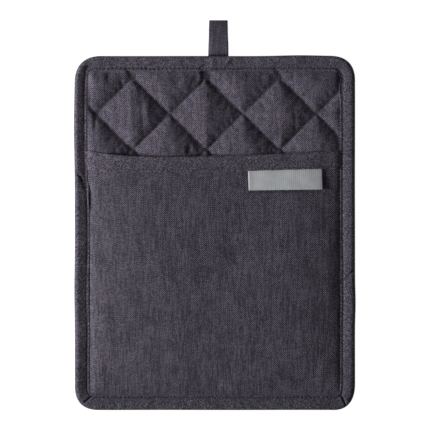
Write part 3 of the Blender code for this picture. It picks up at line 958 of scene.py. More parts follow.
# ---------------------------------------------------------------- the binding
@dataclass(frozen=True)
class EdgeBinding:
    """A bias strip folded round the edge, its two turned-in legs caught by one stitched row.

    Heights are above the surface below. Insets are from the outer edge unless a comment says
    otherwise. Painted shade darkens the colour where shade falls: towards the bottom, down in
    the stitched groove, in the joins and in the troughs.
    """

    outline: Outline
    floor: float = 0.0027  # underside
    top: float = 0.0092  # of the roll
    cavity_floor: float = 0.0039  # the pad's rim lies in the cavity
    cavity_ceiling: float = 0.0072
    cavity_depth: float = 0.0026  # inset of its innermost fold
    lip_top: float = 0.0079  # of the edge inside the stitched row
    lip_sink_left: float = 0.0005  # how much lower that edge lies at the left side
    lip_sink_right: float = 0.0004
    groove_top: float = 0.0074  # where the row pulls the strip down
    stitch_inset: float = 0.0021  # of the stitched row from the strip's inner edge
    back_stitch_inset: float = 0.0018  # the same on the back
    thread_lift: float = 0.00008  # of the thread's middle above the cloth
    side_sink: float = 0.00022  # how much deeper the row lies down the two sides
    crown_share: float = 0.20  # where the roll is highest, across the strip
    crown_share_left: float = 0.24
    crown_share_right: float = 0.28
    edge_wander: float = 0.0003  # of the strip's inner edge
    front_above: float = 0.0062  # from this height the folds show
    front_reach: float = 0.0015
    roll_reach: float = 0.002  # over which puckers fade out at the roll's two edges
    pucker: float = 0.00016  # small crinkles of the roll
    ripple: float = 0.00022  # and broad ones
    row_depth: float = 0.00042  # how far the stitched row sinks
    row_width: float = 0.00075
    pull: float = 0.00026  # dimple at each stitch
    pull_pitch: float = 0.0033
    pull_eased: float = 0.75  # share of it that the stretched sides lose
    crown_wear: float = 0.12  # paler dye along the top of the roll
    crown_reach: float = 0.0024
    upper_left_paler: float = 0.40  # paler colour along the left side above the mouth
    upper_above: float = 0.030
    upper_reach: float = 0.020
    bottom_shade: float = 0.66  # painted shade, darker towards the bottom
    shade_below: float = -0.095
    shade_reach: float = 0.045
    seam_painted_shade: float = 0.60  # painted shade down in the stitched groove
    seam_shade_cut_right: float = 0.8  # share of that painted shade left out at the right side
    seam_shade_cut_left: float = 0.5
    join_painted_shade: float = 2.4  # painted shade in a join, for each millimetre of its depth
    hollow_painted_shade: float = 0.80  # painted shade in a trough, for each millimetre of its depth
    spacing: float = 0.00066  # from one section to the next
    section_points: int = 64
    front_points: int = 42  # of them on the side that shows
    cut_width: float = 0.034  # of the strip before its edges were turned in
    joins: tuple[Crease, ...] = (
        Crease((110.5, -41.5), (100.3, -51.8), 0.85, -0.85),
        Crease((-110.0, 35.0), (-104.2, 27.3), 0.80, -0.60),
    )
    creases: tuple[Crease, ...] = (
        Crease((-96.5, -142.1), (-103.6, -147.6), 1.7, 0.9, fold=Fold.LAP),  # mitre, lower left
        Crease((-96.0, -142.0), (-103.6, -148.1), 0.65, -1.8),  # and its shadow
        Crease((99.7, -141.3), (102.8, -148.4), 1.9, 1.0, fold=Fold.LAP),  # mitre, lower right
        Crease((99.2, -141.0), (102.8, -149.2), 0.75, -2.4),  # and its shadow
        Crease((-100.8, 113.4), (-99.5, 114.2), 2.2, -2.2),  # hollow, upper left
        Crease((-98.5, 116.0), (-93.0, 115.5), 2.0, -0.35),
        Crease((-101.5, 116.3), (-95.0, 117.3), 2.6, -0.9),
        Crease((96.8, 113.6), (98.0, 95.5), 1.5, -2.3, bow=1.6),  # crevice, upper right
        Crease((-70.8, 115.6), (-68.3, 114.2), 1.4, -1.2),  # where the pits end
        Crease((46.0, 115.4), (49.0, 114.4), 1.5, -0.9),
        Crease((-5.4, 115.6), (-10.4, 114.8), 2.1, -2.6),
        Crease((-99.8, 21.5), (-99.4, 4.5), 0.8, 0.45),  # raised lip, left
        Crease((-107.0, 33.0), (-101.2, 17.0), 1.1, -0.5, bow=0.8),
        Crease((15.5, 121.7), (9.0, 116.3), 1.5, -0.8),  # below the loop
        Crease((13.5, 123.0), (8.0, 118.5), 1.3, 0.5),
        Crease((-2.5, 121.0), (0.5, 116.5), 1.6, 0.4),
    )

    def _section(self, width: Array, crown_share: Array, leftness: Array,
                 rightness: Array, levelness: Array) -> Array:
        """The folded strip's closed section at each station.

        Args:
            width: of the strip on the front at each station.
            crown_share: where the roll is highest.
            leftness: 1 at the left side, where the roll leans straight down to its row.
            rightness: 1 at the right side.
            levelness: 1 at the top and bottom, where the roll lies flattest.

        Returns:
            Insets and heights: stations by section points by two.
        """
        one = np.ones_like(width)
        crown = crown_share * width
        groove = width - self.stitch_inset
        middle = (self.cavity_floor + self.cavity_ceiling) / 2
        fall = self.top - self.groove_top
        lip = self.lip_top - self.lip_sink_left * leftness - self.lip_sink_right * rightness
        # each point's inset and height: the front from its inner edge out over the row and
        # the roll, the back from the outer edge in, and the inside round the pad's rim
        front = [
            (width - 0.0002, self.cavity_ceiling - 0.0005),
            (width + 0.0001, self.cavity_ceiling - 0.0003),
            (width - 0.0003, lip - 0.0002),
            (width - 0.0010, lip),
            (groove + 0.0003, self.groove_top + 0.0001),
            (groove - 0.0003, self.groove_top),
            (groove - 0.0013, self.groove_top + (0.38 - 0.26 * leftness) * fall),
            (groove + (crown - groove) * 0.55, self.groove_top + (0.78 - 0.24 * leftness) * fall),
            (crown, self.top),
            (crown * 0.5, self.top - 0.0004 + 0.00032 * levelness),
            (crown * 0.18, self.top - 0.0014 + 0.0009 * levelness),
            (0.0, middle + 0.0005),
        ]
        back = [
            (0.0001, middle - 0.0009),
            (0.0011, self.floor + 0.0007),
            (0.0032, self.floor),
            (0.5 * self.outline.band, self.floor - 0.0001),
            (self.outline.band - 0.0028, self.floor + 0.0002),
            (self.outline.band - self.back_stitch_inset, self.floor + 0.0006),
            (self.outline.band - 0.0008, self.floor + 0.0001),
            (self.outline.band, self.floor + 0.0004),
            (self.outline.band - 0.0002, self.cavity_floor - 0.0001),
        ]
        inside = [
            (self.outline.band - 0.0020, self.cavity_floor),
            (self.cavity_depth + 0.001, self.cavity_floor),
            (self.cavity_depth - 0.0010, self.cavity_floor + 0.0008),
            (self.cavity_depth - 0.0010, self.cavity_ceiling - 0.0008),
            (self.cavity_depth + 0.001, self.cavity_ceiling),
            (groove, self.cavity_ceiling - 0.0005),
        ]
        knots = np.stack([np.stack([inset * one, height * one], -1)
                          for inset, height in front + back + inside], axis=1)
        return closed_curve(knots, self.section_points, len(front), self.front_points)

    def _shape(self) -> tuple[Array, Array, Array, Stations]:
        """Carry the section round the edge.

        Returns:
            The ring's points, their flat coordinates, rubbing and painted shade, and the stations.
        """
        stations = self.outline.stations(self.spacing)
        x, y = stations.place[:, 0], stations.place[:, 1]
        width = self.outline.band_width(x, y)
        width = width + self.edge_wander * Undulation(3, 0.021, 1.0).at(stations.along, 0 * x)
        rightness = np.maximum(-stations.inward[:, 0], 0.0) ** 2
        leftness = np.maximum(stations.inward[:, 0], 0.0) ** 2
        crown = (self.crown_share + (self.crown_share_right - self.crown_share) * rightness
                 + (self.crown_share_left - self.crown_share) * leftness)
        section = self._section(width, crown, leftness, rightness, stations.inward[:, 1] ** 4)
        inset, height = section[..., 0], section[..., 1]
        places = stations.place[:, None] + stations.inward[:, None] * inset[..., None]
        along = np.broadcast_to(stations.along[:, None], inset.shape)
        walked = flat_lengths(section, 1)
        outer = (inset < self.outline.band + 0.001) & (height > self.cavity_ceiling + 0.0001)
        on_skin = np.where(outer, 1, 0)
        on_front = on_skin * smooth_step((height - self.front_above) / self.front_reach)
        row = (width - self.stitch_inset)[:, None]
        near_row = np.exp(-((inset - row) / self.row_width) ** 2)
        puckered = (self.pucker * Undulation(5, 0.0042, 0.010).at(along, walked)
                    + self.ripple * Undulation(6, 0.019, 0.02).at(along, walked))
        puckered = puckered * smooth_step(inset / self.roll_reach)
        puckered = puckered * smooth_step((row - inset) / self.roll_reach)
        pull = self.pull * (1 - self.pull_eased * (rightness + leftness)[:, None])
        pulled = pull * np.cos(2 * np.pi * along / self.pull_pitch) - self.row_depth
        joined = on_front * creased(places[..., 0], places[..., 1], self.joins)
        folded = on_front * creased(places[..., 0], places[..., 1], self.creases)
        lift = on_skin * (puckered + pulled * near_row) + joined + folded
        points = np.concatenate([places, (height + lift)[..., None]], axis=-1)
        crowned = np.exp(-((inset - (crown * width)[:, None]) / self.crown_reach) ** 2)
        painted_shade = smooth_step((self.shade_below - places[..., 1]) / self.shade_reach)
        seam_shade_share = (1 - self.seam_shade_cut_right * rightness - self.seam_shade_cut_left * leftness)[:, None]
        upper = smooth_step((places[..., 1] - self.upper_above) / self.upper_reach)
        # crown paler from rubbing, left side paler above the mouth; the rest is painted shade
        wear_and_shade = (self.crown_wear * crowned * smooth_step((height - self.front_above)
                                                        / self.front_reach)
                + self.upper_left_paler * leftness[:, None] * upper * on_skin
                - self.bottom_shade * painted_shade
                - self.seam_painted_shade * seam_shade_share * near_row ** 2 * on_skin
                + self.join_painted_shade * joined / MM
                + self.hollow_painted_shade * np.minimum(folded, 0.0) / MM)
        return points, np.stack([along, walked], -1), wear_and_shade, stations

    def build(self, cloth: Material, stitch: Stitch) -> None:
        """Make the binding and its stitches.

        Args:
            cloth: the strip's material.
            stitch: that its row is sewn with.
        """
        points, flat, wear_and_shade, stations = self._shape()
        rows, columns = points.shape[:2]
        faces = grid_faces(rows, columns, wrap=True)
        row, column = faces // columns, faces % columns
        first_row, first_column = row[:, :1], column[:, :1]
        u = np.where(row < first_row, stations.length, flat[row, column, 0])
        around = flat[:, -1, 1] + np.linalg.norm(points[:, -1] - points[:, 0], axis=-1)
        v = np.where(column < first_column, around[row], flat[row, column, 1])
        uvs = np.stack([u, v], -1).reshape(-1, 2)
        ring = new_object("bias_binding", points.reshape(-1, 3), faces[:, ::-1],
                          uvs.reshape(-1, 4, 2)[:, ::-1].reshape(-1, 2), wear_and_shade.reshape(-1))
        finish_piece(ring, cloth, "bias_linen", "edge_binding")
        self._sew(points, stitch)

    def _sew(self, points: Array, stitch: Stitch) -> None:
        """Sew the row that shows on the front and on the back.

        Args:
            points: the strip's sections.
            stitch: that the row is sewn with.
        """
        for name, front in (("binding_stitches_front", True), ("binding_stitches_back", False)):
            line = self._seam(points, front)
            closed = np.concatenate([line, line[:1]])
            begins, ends = stitch.along(closed)
            up = 1.0 if front else -1.0
            upright = np.minimum(1.0, np.abs((ends - begins)[:, 1:2]) / stitch.length) ** 2
            lift = (0.0, 0.0, up) * (self.thread_lift - self.side_sink * upright)
            stitch.sew(name, begins + lift, ends + lift, up, "bias_linen")

    def _seam(self, points: Array, front: bool) -> Array:
        """Find the bottom of the stitched groove.

        Args:
            points: the strip's sections.
            front: whether on the front or on the back.

        Returns:
            Its line of points.
        """
        stations = self.outline.stations(self.spacing)
        inset = np.einsum("nmk,nk->nm", points[..., :2] - stations.place[:, None], stations.inward)
        width = self.outline.band_width(stations.place[:, 0], stations.place[:, 1])
        if front:
            wanted, side = width - self.stitch_inset, points[..., 2] > self.cavity_ceiling + 0.0001
        else:
            wanted = np.full(len(points), self.outline.band - self.back_stitch_inset)
            side = points[..., 2] < self.cavity_floor - 0.0002
        miss = np.abs(inset - wanted[:, None]) + np.where(side, 0.0, 1.0)
        nearest = np.argmin(miss, axis=1)
        height = points[np.arange(len(points)), nearest, 2]
        place = stations.place + stations.inward * wanted[:, None]
        return np.concatenate([place, height[:, None]], axis=-1)


def closed_curve(knots: Array, count: int, fine_knots: int, fine_count: int) -> Array:
    """Read a smooth closed curve through knots, at each of many stations.

    Args:
        knots: stations by knots by two.
        count: how many points to read.
        fine_knots: how many of the first knots are on the side that shows.
        fine_count: how many of the points are read there.

    Returns:
        Stations by count by two.
    """
    total = knots.shape[1]
    position = np.interp(np.arange(count), (0, fine_count, count), (0, fine_knots, total))
    first = np.floor(position).astype(int)
    t = (position - first)[None, :, None]
    before, start, end, after = (knots[:, (first + step) % total] for step in (-1, 0, 1, 2))
    tension = 0.42
    leave, arrive = tension * (end - before), tension * (after - start)
    return ((2 * t ** 3 - 3 * t ** 2 + 1) * start + (t ** 3 - 2 * t ** 2 + t) * leave
            + (-2 * t ** 3 + 3 * t ** 2) * end + (t ** 3 - t ** 2) * arrive)


# ---------------------------------------------------------------- the quilted pad
@dataclass(frozen=True)
class Settling:
    """Lets a sewn cloth settle over its wadding, by Blender's cloth simulation.

    The cloth is a little longer than the form it is laid on, so it gathers along its seams.
    """

    scale: float = 20.0  # of the simulated copy, because the solver suits cloth of a room's size
    frames: int = 14  # how long it settles
    slack: float = 0.025  # how much longer the cloth is, as a share
    pressure: float = 0.6  # of the wadding under it
    bending: float = 5.0  # stiffness of the cloth against folding
    cap: float = 0.00022  # the furthest a point may move up or down, in metres
    broad: int = 60  # smoothing passes that find the slow part of the movement, which isn't kept

    def settle(self, points: Array, held: Array) -> Array:
        """Let a grid of points settle.

        Args:
            points: rows by columns of points, where the formula laid them.
            held: 1 where sewing holds the cloth, 0 where it is free.

        Returns:
            The height that the gathers add at each point, in metres.
        """
        rows, columns = points.shape[:2]
        mesh = bpy.data.meshes.new("settling")
        mesh.from_pydata((points.reshape(-1, 3) * self.scale).tolist(), [],
                         grid_faces(rows, columns).tolist())
        cloth = bpy.data.objects.new("settling", mesh)
        bpy.context.scene.collection.objects.link(cloth)
        group = cloth.vertex_groups.new(name="sewn")
        for index in np.flatnonzero(held.reshape(-1) > 0.5):
            group.add([int(index)], 1.0, "REPLACE")
        modifier = cloth.modifiers.new("cloth", "CLOTH")
        settings = modifier.settings
        settings.quality = 6
        settings.mass = 0.3
        settings.tension_stiffness = settings.compression_stiffness = 12.0
        settings.shear_stiffness = 4.0
        settings.bending_stiffness = self.bending
        settings.vertex_group_mass = "sewn"
        settings.shrink_min = -self.slack
        settings.use_pressure = True
        settings.uniform_pressure_force = self.pressure
        settings.effector_weights.gravity = 0.0
        modifier.collision_settings.use_collision = False
        modifier.point_cache.frame_start = 1
        modifier.point_cache.frame_end = self.frames
        for number in range(1, self.frames + 1):
            bpy.context.scene.frame_set(number)
        settled = cloth.evaluated_get(bpy.context.evaluated_depsgraph_get()).data
        moved = np.empty(rows * columns * 3, np.float32)
        settled.vertices.foreach_get("co", moved)
        bpy.data.objects.remove(cloth)
        bpy.data.meshes.remove(mesh)
        bpy.context.scene.frame_set(1)
        lift = moved.reshape(rows, columns, 3)[..., 2] / self.scale - points[..., 2]
        return self._gathers(lift * (1 - held))

    def _gathers(self, lift: Array) -> Array:
        """Take the slow part out of a lift and cap the rest softly.

        Args:
            lift: height that the simulation added at each point.

        Returns:
            What is left of it.
        """
        slow = lift
        for _ in range(self.broad):
            padded = np.pad(slow, 1, mode="edge")
            slow = (padded[:-2, 1:-1] + padded[2:, 1:-1] + padded[1:-1, :-2]
                    + padded[1:-1, 2:]) / 4
        return self.cap * np.tanh((lift - slow) / self.cap)


@dataclass(frozen=True)
class Diamond:
    """How one quilted diamond bulges."""

    middle: tuple[float, float]  # x and y near its middle, in millimetres
    roof: float = 0.35  # from 0, a round pillow, to 1, a tent with one ridge up its middle
    ridge: float = 0.0  # how far the ridge is moved to the right, as a share of the half width
    softness: float = 0.2  # of the ridge
    fullness: float = 1.0  # of the diamond beside the others


@dataclass(frozen=True)
class QuiltedPad:
    """Two linen cloths with wadding between them, stitched together along a diagonal grid.

    Heights are above the surface below. Of two values the first holds under the pocket and the
    second above its mouth, unless a comment says otherwise.
    """

    outline: Outline
    pocket: "Pocket"
    pressed_gap: float = 0.0019  # from the panel's middle down to the pad it presses
    pressed_blend: float = 0.0004  # roundness of the change to the free pad
    pressed_slope: float = 1.3  # how steeply the pad swells up in front of the mouth
    pressed_past: float = 0.0012  # how far that swelling begins inside the mouth
    pressed_beside: float = 0.012  # within this of the sides it begins twice as far in
    inset: float = 0.0029  # of the pad's cut edge from the outer edge
    rim_floor: float = 0.0042
    rim_top: tuple[float, float] = (0.0060, 0.0071)
    rim_step_y: float = 0.0455  # where the rim's top changes
    rim_step_length: float = 0.006
    rim_sink_right: float = 0.0010  # at the upper corner, where the binding stands free
    rim_sink_from: tuple[float, float] = (0.0908, 0.094)  # x and y where that begins
    rim_sink_reach: tuple[float, float] = (0.009, 0.006)  # over which, in x and y
    least: float = 0.0008  # thickness that a crease may not go below
    channel_top: float = 0.0048
    channel_floor: float = 0.0015
    puff_top: tuple[float, float] = (0.0078, 0.0107)
    puff_step_y: float = 0.036  # where the puffs' top changes
    puff_step_length: float = 0.010
    swell_start: tuple[float, float] = (0.0035, -0.0002)  # from the binding's inner edge
    swell_reach: tuple[float, float] = (0.017, 0.005)
    swell_reach_top: float = 0.0075  # below the top edge
    back_start: float = 0.0050
    back_reach: float = 0.012
    flat_back: float = 0.6  # fullness above which the back lies flat
    plumpness: float = 0.5  # of the pad's rise from the binding; less is plumper
    period_x: float = 0.0577  # from one crossing of the seams to the next
    period_y: float = 0.0565
    crossing: tuple[float, float] = (0.0220, 0.0793)  # x and y of one crossing
    roundness: float = 0.55  # of the puffs; less is fuller
    unsewn_left: float = -0.0925  # left of this only the falling diagonals still show
    unsewn_reach: float = 0.0040
    unsewn_above: float = 0.1078  # above this they fade into tucks that run to the binding
    pucker: float = 0.00030  # height of the gathers beside a seam
    pucker_near: float = 0.0018  # where they are full
    pucker_reach: float = 0.0045  # over which they fade
    settled_above: float = 0.040  # y of the lowest row of the cloth that settles
    sewn_width: float = 0.0011
    sewn_painted_shade: float = 0.42  # painted shade down in the sewn lines
    hollow_painted_shade: float = 0.52  # painted shade in a hollow, for each millimetre of its depth
    pit_share: float = 2.0  # how much more that is in a pit
    mouth_painted_shade: float = 0.5  # painted shade where the pocket's mouth overhangs it
    mouth_width: float = 0.0009
    ridge_wear: float = 0.25  # paler dye on the highest ridges
    thread_lift: float = 0.00010  # of the thread's middle above the cloth
    columns: int = 190
    fine_rows: int = 92
    coarse_rows: int = 86  # under the pocket
    rim_rows: tuple[int, int] = (13, 15)  # closer rows near the lower and upper rim
    rim_rows_reach: float = 0.017
    fill: float = 0.6
    diamonds: tuple[Diamond, ...] = (
        Diamond((-64.5, 79.3), roof=0.55, ridge=0.28, softness=0.30, fullness=1.0),
        Diamond((-6.8, 79.3), roof=0.95, ridge=0.0, softness=0.04, fullness=1.05),
        Diamond((50.8, 79.3), roof=0.60, ridge=0.16, softness=0.22, fullness=0.92),
        Diamond((-93.4, 107.5), roof=0.50, ridge=-0.16, softness=0.25, fullness=0.90),
        Diamond((-35.6, 107.5), roof=0.50, ridge=-0.20, softness=0.30, fullness=0.89),
        Diamond((22.0, 107.5), roof=0.50, ridge=-0.18, softness=0.30, fullness=0.87),
        Diamond((79.7, 107.5), roof=0.50, ridge=-0.10, softness=0.30, fullness=0.84),
        Diamond((-35.6, 51.0), roof=0.55, ridge=-0.28, softness=0.35, fullness=1.0),
    )
    usual: Diamond = Diamond((0.0, 0.0), roof=0.55, ridge=0.05, softness=0.22)
    creases: tuple[Crease, ...] = (
        Crease((-84.0, 112.0), (-84.6, 107.0), 1.3, -1.2),
        Crease((-91.0, 111.0), (-95.5, 108.0), 1.6, -0.7),
        Crease((-15.5, 112.5), (-20.5, 99.5), 1.0, -0.45, bow=1.2),
        Crease((-11.5, 112.5), (-17.0, 97.0), 0.9, 0.45, bow=1.5),
        Crease((-8.5, 112.5), (-12.5, 99.0), 0.9, -0.40, bow=1.0),
        Crease((-74.5, 106.5), (-72.0, 99.5), 1.0, -0.7),
        Crease((-52.0, 93.0), (-51.0, 70.5), 1.6, 0.45, bow=-1.6),
        Crease((-66.5, 101.0), (-65.0, 62.0), 2.2, 0.55),
        Crease((-58.5, 97.0), (-57.0, 64.0), 1.8, -0.55, bow=0.6),
        Crease((-76.5, 92.0), (-75.5, 70.0), 2.4, -0.35),
        Crease((61.5, 84.0), (62.5, 63.0), 1.2, -0.6, bow=1.0),
        Crease((-20.0, 55.5), (-21.0, 47.0), 1.5, -0.8),
        Crease((-8.5, 54.0), (-1.5, 46.8), 1.1, -1.1),
        Crease((-67.0, 54.3), (-60.0, 47.3), 1.1, -1.0),
        Crease((50.0, 53.5), (56.5, 47.0), 1.1, -1.0),
        Crease((-38.5, 82.0), (-33.0, 76.6), 1.0, -0.6),
        Crease((19.2, 82.0), (24.8, 76.6), 1.0, -0.6),
        Crease((76.9, 82.0), (82.5, 76.6), 1.0, -0.5),
        Crease((96.6, 113.4), (97.0, 94.5), 1.3, -2.6, bow=2.0),
        Crease((41.5, 113.8), (46.5, 109.0), 2.6, -0.9),
        Crease((-7.4, 107.5), (-4.5, 103.0), 1.3, -0.8),
    )
    pits: tuple[Crease, ...] = (  # these run on in under the binding
        Crease((-8.4, 118.0), (-4.8, 104.2), 1.9, -2.4, bow=0.6),
        Crease((-11.3, 118.5), (-8.2, 109.0), 2.0, -2.0),
        Crease((-70.4, 116.5), (-62.6, 104.3), 1.5, -2.1, bow=0.4),
        Crease((48.2, 113.5), (52.2, 103.8), 1.7, -2.0, bow=0.5),
    )

    @property
    def seam_distance(self) -> float:
        """From one stitched line to the next parallel one."""
        return 1 / math.hypot(1 / self.period_x, 1 / self.period_y)

    def _lattice(self, x: Array, y: Array) -> tuple[Array, Array]:
        """Count places in stitched lines.

        Args:
            x: places across.
            y: places along.

        Returns:
            One number for each diagonal.
        """
        across = (x - self.crossing[0]) / self.period_x
        along = (y - self.crossing[1]) / self.period_y
        return across + along, across - along

    def _swell(self, x: Array, y: Array, start: Array, reach: Array,
               top_reach: float) -> Array:
        """How fully the pad has swollen: 0 at the binding, 1 inside.

        Args:
            x: places across.
            y: places along.
            start: from the binding's inner edge to where the pad begins to swell.
            reach: from there to the full thickness.
            top_reach: the same below the top edge.

        Returns:
            The share at each place.
        """
        left, right, top, bottom = self.outline.inner_distances(x, y)
        share = smooth_step((left - start) / reach) * smooth_step((right - start) / reach)
        share = share * smooth_step((bottom - start) / reach)
        share = share * smooth_step((top - start) / top_reach)
        return share ** self.plumpness

    def _puff(self, x: Array, y: Array) -> Array:
        """Fullness of the diamonds: 0 on their stitched lines, about 1 in their middles.

        Args:
            x: places across.
            y: places along.

        Returns:
            The fullness at each place.
        """
        unsewn_fullness = 0.8  # where the rising seams are missing
        a, b = self._lattice(x, np.minimum(y, self.unsewn_above))
        loose = smooth_step((self.unsewn_left - x) / self.unsewn_reach)
        rising = np.maximum(np.abs(np.sin(np.pi * b)), unsewn_fullness * loose)
        pillow = (np.abs(np.sin(np.pi * a)) * rising) ** self.roundness
        in_a, in_b = a - np.floor(a) - 0.5, b - np.floor(b) - 0.5
        u, v = in_a + in_b, in_a - in_b
        puff = self._tent(pillow, u, v, self.usual)
        puff = puff + (pillow - puff) * loose
        for diamond in self.diamonds:
            cell = self._lattice(*(np.array(diamond.middle) * MM))
            here = (np.floor(a) == np.floor(cell[0])) & (np.floor(b) == np.floor(cell[1]))
            puff = np.where(here, self._tent(pillow, u, v, diamond), puff)
        return puff

    def _tent(self, pillow: Array, u: Array, v: Array, diamond: Diamond) -> Array:
        """Draw a pillow up into a tent with a ridge up its middle.

        Args:
            pillow: fullness of the round pillow.
            u: places across the diamond, from -1 to 1.
            v: places up the diamond.
            diamond: how far and where.

        Returns:
            The fullness.
        """
        blunt = 0.07  # roundness of the tent's two ends
        fall, slope = 0.55, 0.85  # powers of its height up the diamond and across it
        half = np.maximum(1 + blunt ** 2 - np.sqrt(v ** 2 + blunt ** 2), 1e-4)
        shift = np.clip(u / half, -1.0, 1.0) - diamond.ridge
        side = np.where(shift > 0, 1 - diamond.ridge, 1 + diamond.ridge)
        away = np.sqrt((shift / side) ** 2 + diamond.softness ** 2) - diamond.softness
        away = away / (math.sqrt(1 + diamond.softness ** 2) - diamond.softness)
        tent = half ** fall * np.clip(1 - away, 0.0, 1.0) ** slope
        return (pillow + (tent - pillow) * diamond.roof) * diamond.fullness

    def _puckers(self, x: Array, y: Array) -> Array:
        """Short gathers that run square to each stitched line and fade away from it.

        Args:
            x: places across.
            y: places along.

        Returns:
            The lift at each place.
        """
        line_step, walk_step = 17.3, 1.4  # how far the random pattern moves between lines
        short, long, long_share = 0.0032, 0.0069, 0.6
        a, b = self._lattice(x, y)
        lift = np.zeros(np.shape(x))
        for seed, across, along in ((11, a, b), (12, b, a)):
            away = np.abs(across - np.round(across)) * self.seam_distance
            line = np.round(across) * line_step
            walked = along * self.seam_distance * walk_step
            gather = Undulation(seed, short, 1.0).at(walked, line)
            gather = gather + long_share * Undulation(seed + 4, long, 1.0).at(walked, line)
            rise = np.clip(away / self.pucker_near, 0.0, 1.0) * np.exp(-away / self.pucker_reach)
            lift = lift + self.pucker * gather * rise
        return lift

    def front(self, x: Array, y: Array) -> Array:
        """Height of the pad's front.

        Args:
            x: places across.
            y: places along.

        Returns:
            The height at each place.
        """
        opened = smooth_step((y - self.rim_step_y) / self.rim_step_length)
        corner = (smooth_step((x - self.rim_sink_from[0]) / self.rim_sink_reach[0])
                  * smooth_step((y - self.rim_sink_from[1]) / self.rim_sink_reach[1]))
        rim = between(self.rim_top, opened) - self.rim_sink_right * corner
        top = between(self.puff_top, smooth_step((y - self.puff_step_y) / self.puff_step_length))
        swollen = self.channel_top + (top - self.channel_top) * self._puff(x, y)
        detail = self._puckers(x, y) + creased(x, y, self.creases)
        lump, crinkle = 0.35 * MM, 0.10 * MM
        detail = detail + lump * Undulation(21, 0.011, 0.016).at(x, y)
        detail = detail + crinkle * Undulation(22, 0.0043, 0.0075).at(x, y)
        share = self._swell(x, y, between(self.swell_start, opened),
                            between(self.swell_reach, opened), self.swell_reach_top)
        free = rim + (swollen + detail - rim) * share + creased(x, y, self.pits)
        left, right, _, _ = self.outline.inner_distances(x, y)
        beside = smooth_step(1 - np.minimum(left, right) / self.pressed_beside)
        past = y - self.pocket.mouth_y(x) + self.pressed_past * (1 + beside)
        limit = self.pocket.height(x, y) - self.pressed_gap
        limit = limit + self.pressed_slope * np.maximum(past, 0.0)
        pressed = 0.5 * (free + limit - np.hypot(free - limit, self.pressed_blend))
        return np.maximum(pressed, self.back(x, y) + self.least)

    def _wear_and_shade(self, x: Array, y: Array) -> Array:
        """Paler ridges where rubbing fades the pad, and painted shade in its sewn lines,
        hollows and pits and under the pocket's mouth.

        Args:
            x: places across.
            y: places along.

        Returns:
            The paler rubbing and painted shade at each place.
        """
        a, b = self._lattice(x, np.minimum(y, self.unsewn_above))
        loose = smooth_step((self.unsewn_left - x) / self.unsewn_reach)
        rising, falling = (
            np.exp(-(np.abs(k - np.round(k)) * self.seam_distance / self.sewn_width) ** 2)
            for k in (b, a))
        ridge_from, ridge_reach = 0.75, 0.3  # fullness from which a ridge turns paler with rubbing
        rising_share = 0.5  # of the rising seams' painted shade against that of the falling ones
        tone_shift = self.ridge_wear * smooth_step((self._puff(x, y) - ridge_from) / ridge_reach)
        sewn = np.maximum(falling, rising_share * rising * (1 - loose))
        pits = creased(x, y, self.pits)
        hollow = np.minimum(creased(x, y, self.creases) + self.pit_share * pits, 0.0) / MM
        mouth = np.exp(-((y - self.pocket.mouth_y(x)) / self.mouth_width) ** 2)
        # ridges paler from rubbing; the rest is painted shade in seams, hollows, pits and the
        # mouth
        return (tone_shift - self.sewn_painted_shade * sewn + self.hollow_painted_shade * hollow
                - self.mouth_painted_shade * mouth)

    def _held(self, x: Array, y: Array) -> Array:
        """Where the front cloth is held: in its seams, at the binding and in the pocket.

        Args:
            x: places across.
            y: places along.

        Returns:
            From 0, free, to 1, held, at each place.
        """
        seam_width, seam_fade = 0.0016, 0.0009  # beside a stitched line
        covered, edge_fade = 0.0008, 0.002  # at the binding, with the fade at the mouth
        a, b = self._lattice(x, np.minimum(y, self.unsewn_above))
        away = np.minimum(np.abs(a - np.round(a)), np.abs(b - np.round(b))) * self.seam_distance
        sewn = smooth_step((seam_width - away) / seam_fade)
        edge = np.min(self.outline.inner_distances(x, y), axis=0)
        bound = smooth_step(1 - (edge - covered) / edge_fade)
        tucked = smooth_step(1 - (y - self.pocket.mouth_y(x)) / edge_fade)
        return np.maximum(np.maximum(sewn, bound), tucked)

    def back(self, x: Array, y: Array) -> Array:
        """Height of the pad's back, flattened by what it lies on.

        Args:
            x: places across.
            y: places along.

        Returns:
            The height at each place.
        """
        share = self._swell(x, y, self.back_start + 0 * x, self.back_reach + 0 * x,
                            self.back_reach)
        low = self.channel_floor * (1 - np.clip(self._puff(x, y) / self.flat_back, 0.0, 1.0))
        gather_from, gather_share = 0.0006, 0.5  # only what is off the surface gathers
        near = smooth_step(low / gather_from)
        low = np.maximum(low + gather_share * near * self._puckers(x, y), 0.0)
        return self.rim_floor + (low - self.rim_floor) * share

    def build(self, cloth: Material, stitch: Stitch) -> None:
        """Make the pad and its quilting stitches.

        Args:
            cloth: the pad's material.
            stitch: that it is quilted with.
        """
        low = self.outline.low[1] + self.inset
        high = self.outline.high[1] - self.inset
        rise, fall = (self.rim_rows_reach * (1 - np.cos(np.pi / 2 * np.linspace(0, 1, count)))
                      for count in self.rim_rows)
        first, last = low + rise, high - fall[::-1]
        rows = np.concatenate([first,
                               np.linspace(first[-1], self.puff_step_y, self.coarse_rows)[1:],
                               np.linspace(self.puff_step_y, last[0], self.fine_rows)[1:],
                               last[1:]])
        right = self.outline.side_reach(rows, self.inset, +1)
        left = self.outline.side_reach(rows, self.inset, -1)
        share = np.linspace(0, 1, self.columns)
        x = -left[:, None] + (left + right)[:, None] * share
        y = np.broadcast_to(rows[:, None], x.shape)
        front = np.stack([x, y, self.front(x, y)], -1)
        back = np.stack([x, y, self.back(x, y)], -1)
        open_rows = rows > self.settled_above
        gathers = Settling().settle(front[open_rows], self._held(x, y)[open_rows])
        LOG.info("gathers: %.2f to %.2f mm", gathers.min() / MM, gathers.max() / MM)
        front[open_rows, :, 2] += gathers
        pad = slab_object("quilted_linen_pad", front, back, np.stack([x, y], -1),
                          bulge=0.2 * MM, wear_and_shade=self._wear_and_shade(x, y))
        finish_piece(pad, cloth, "quilted_linen", "quilted_pad")
        self._quilt(stitch)

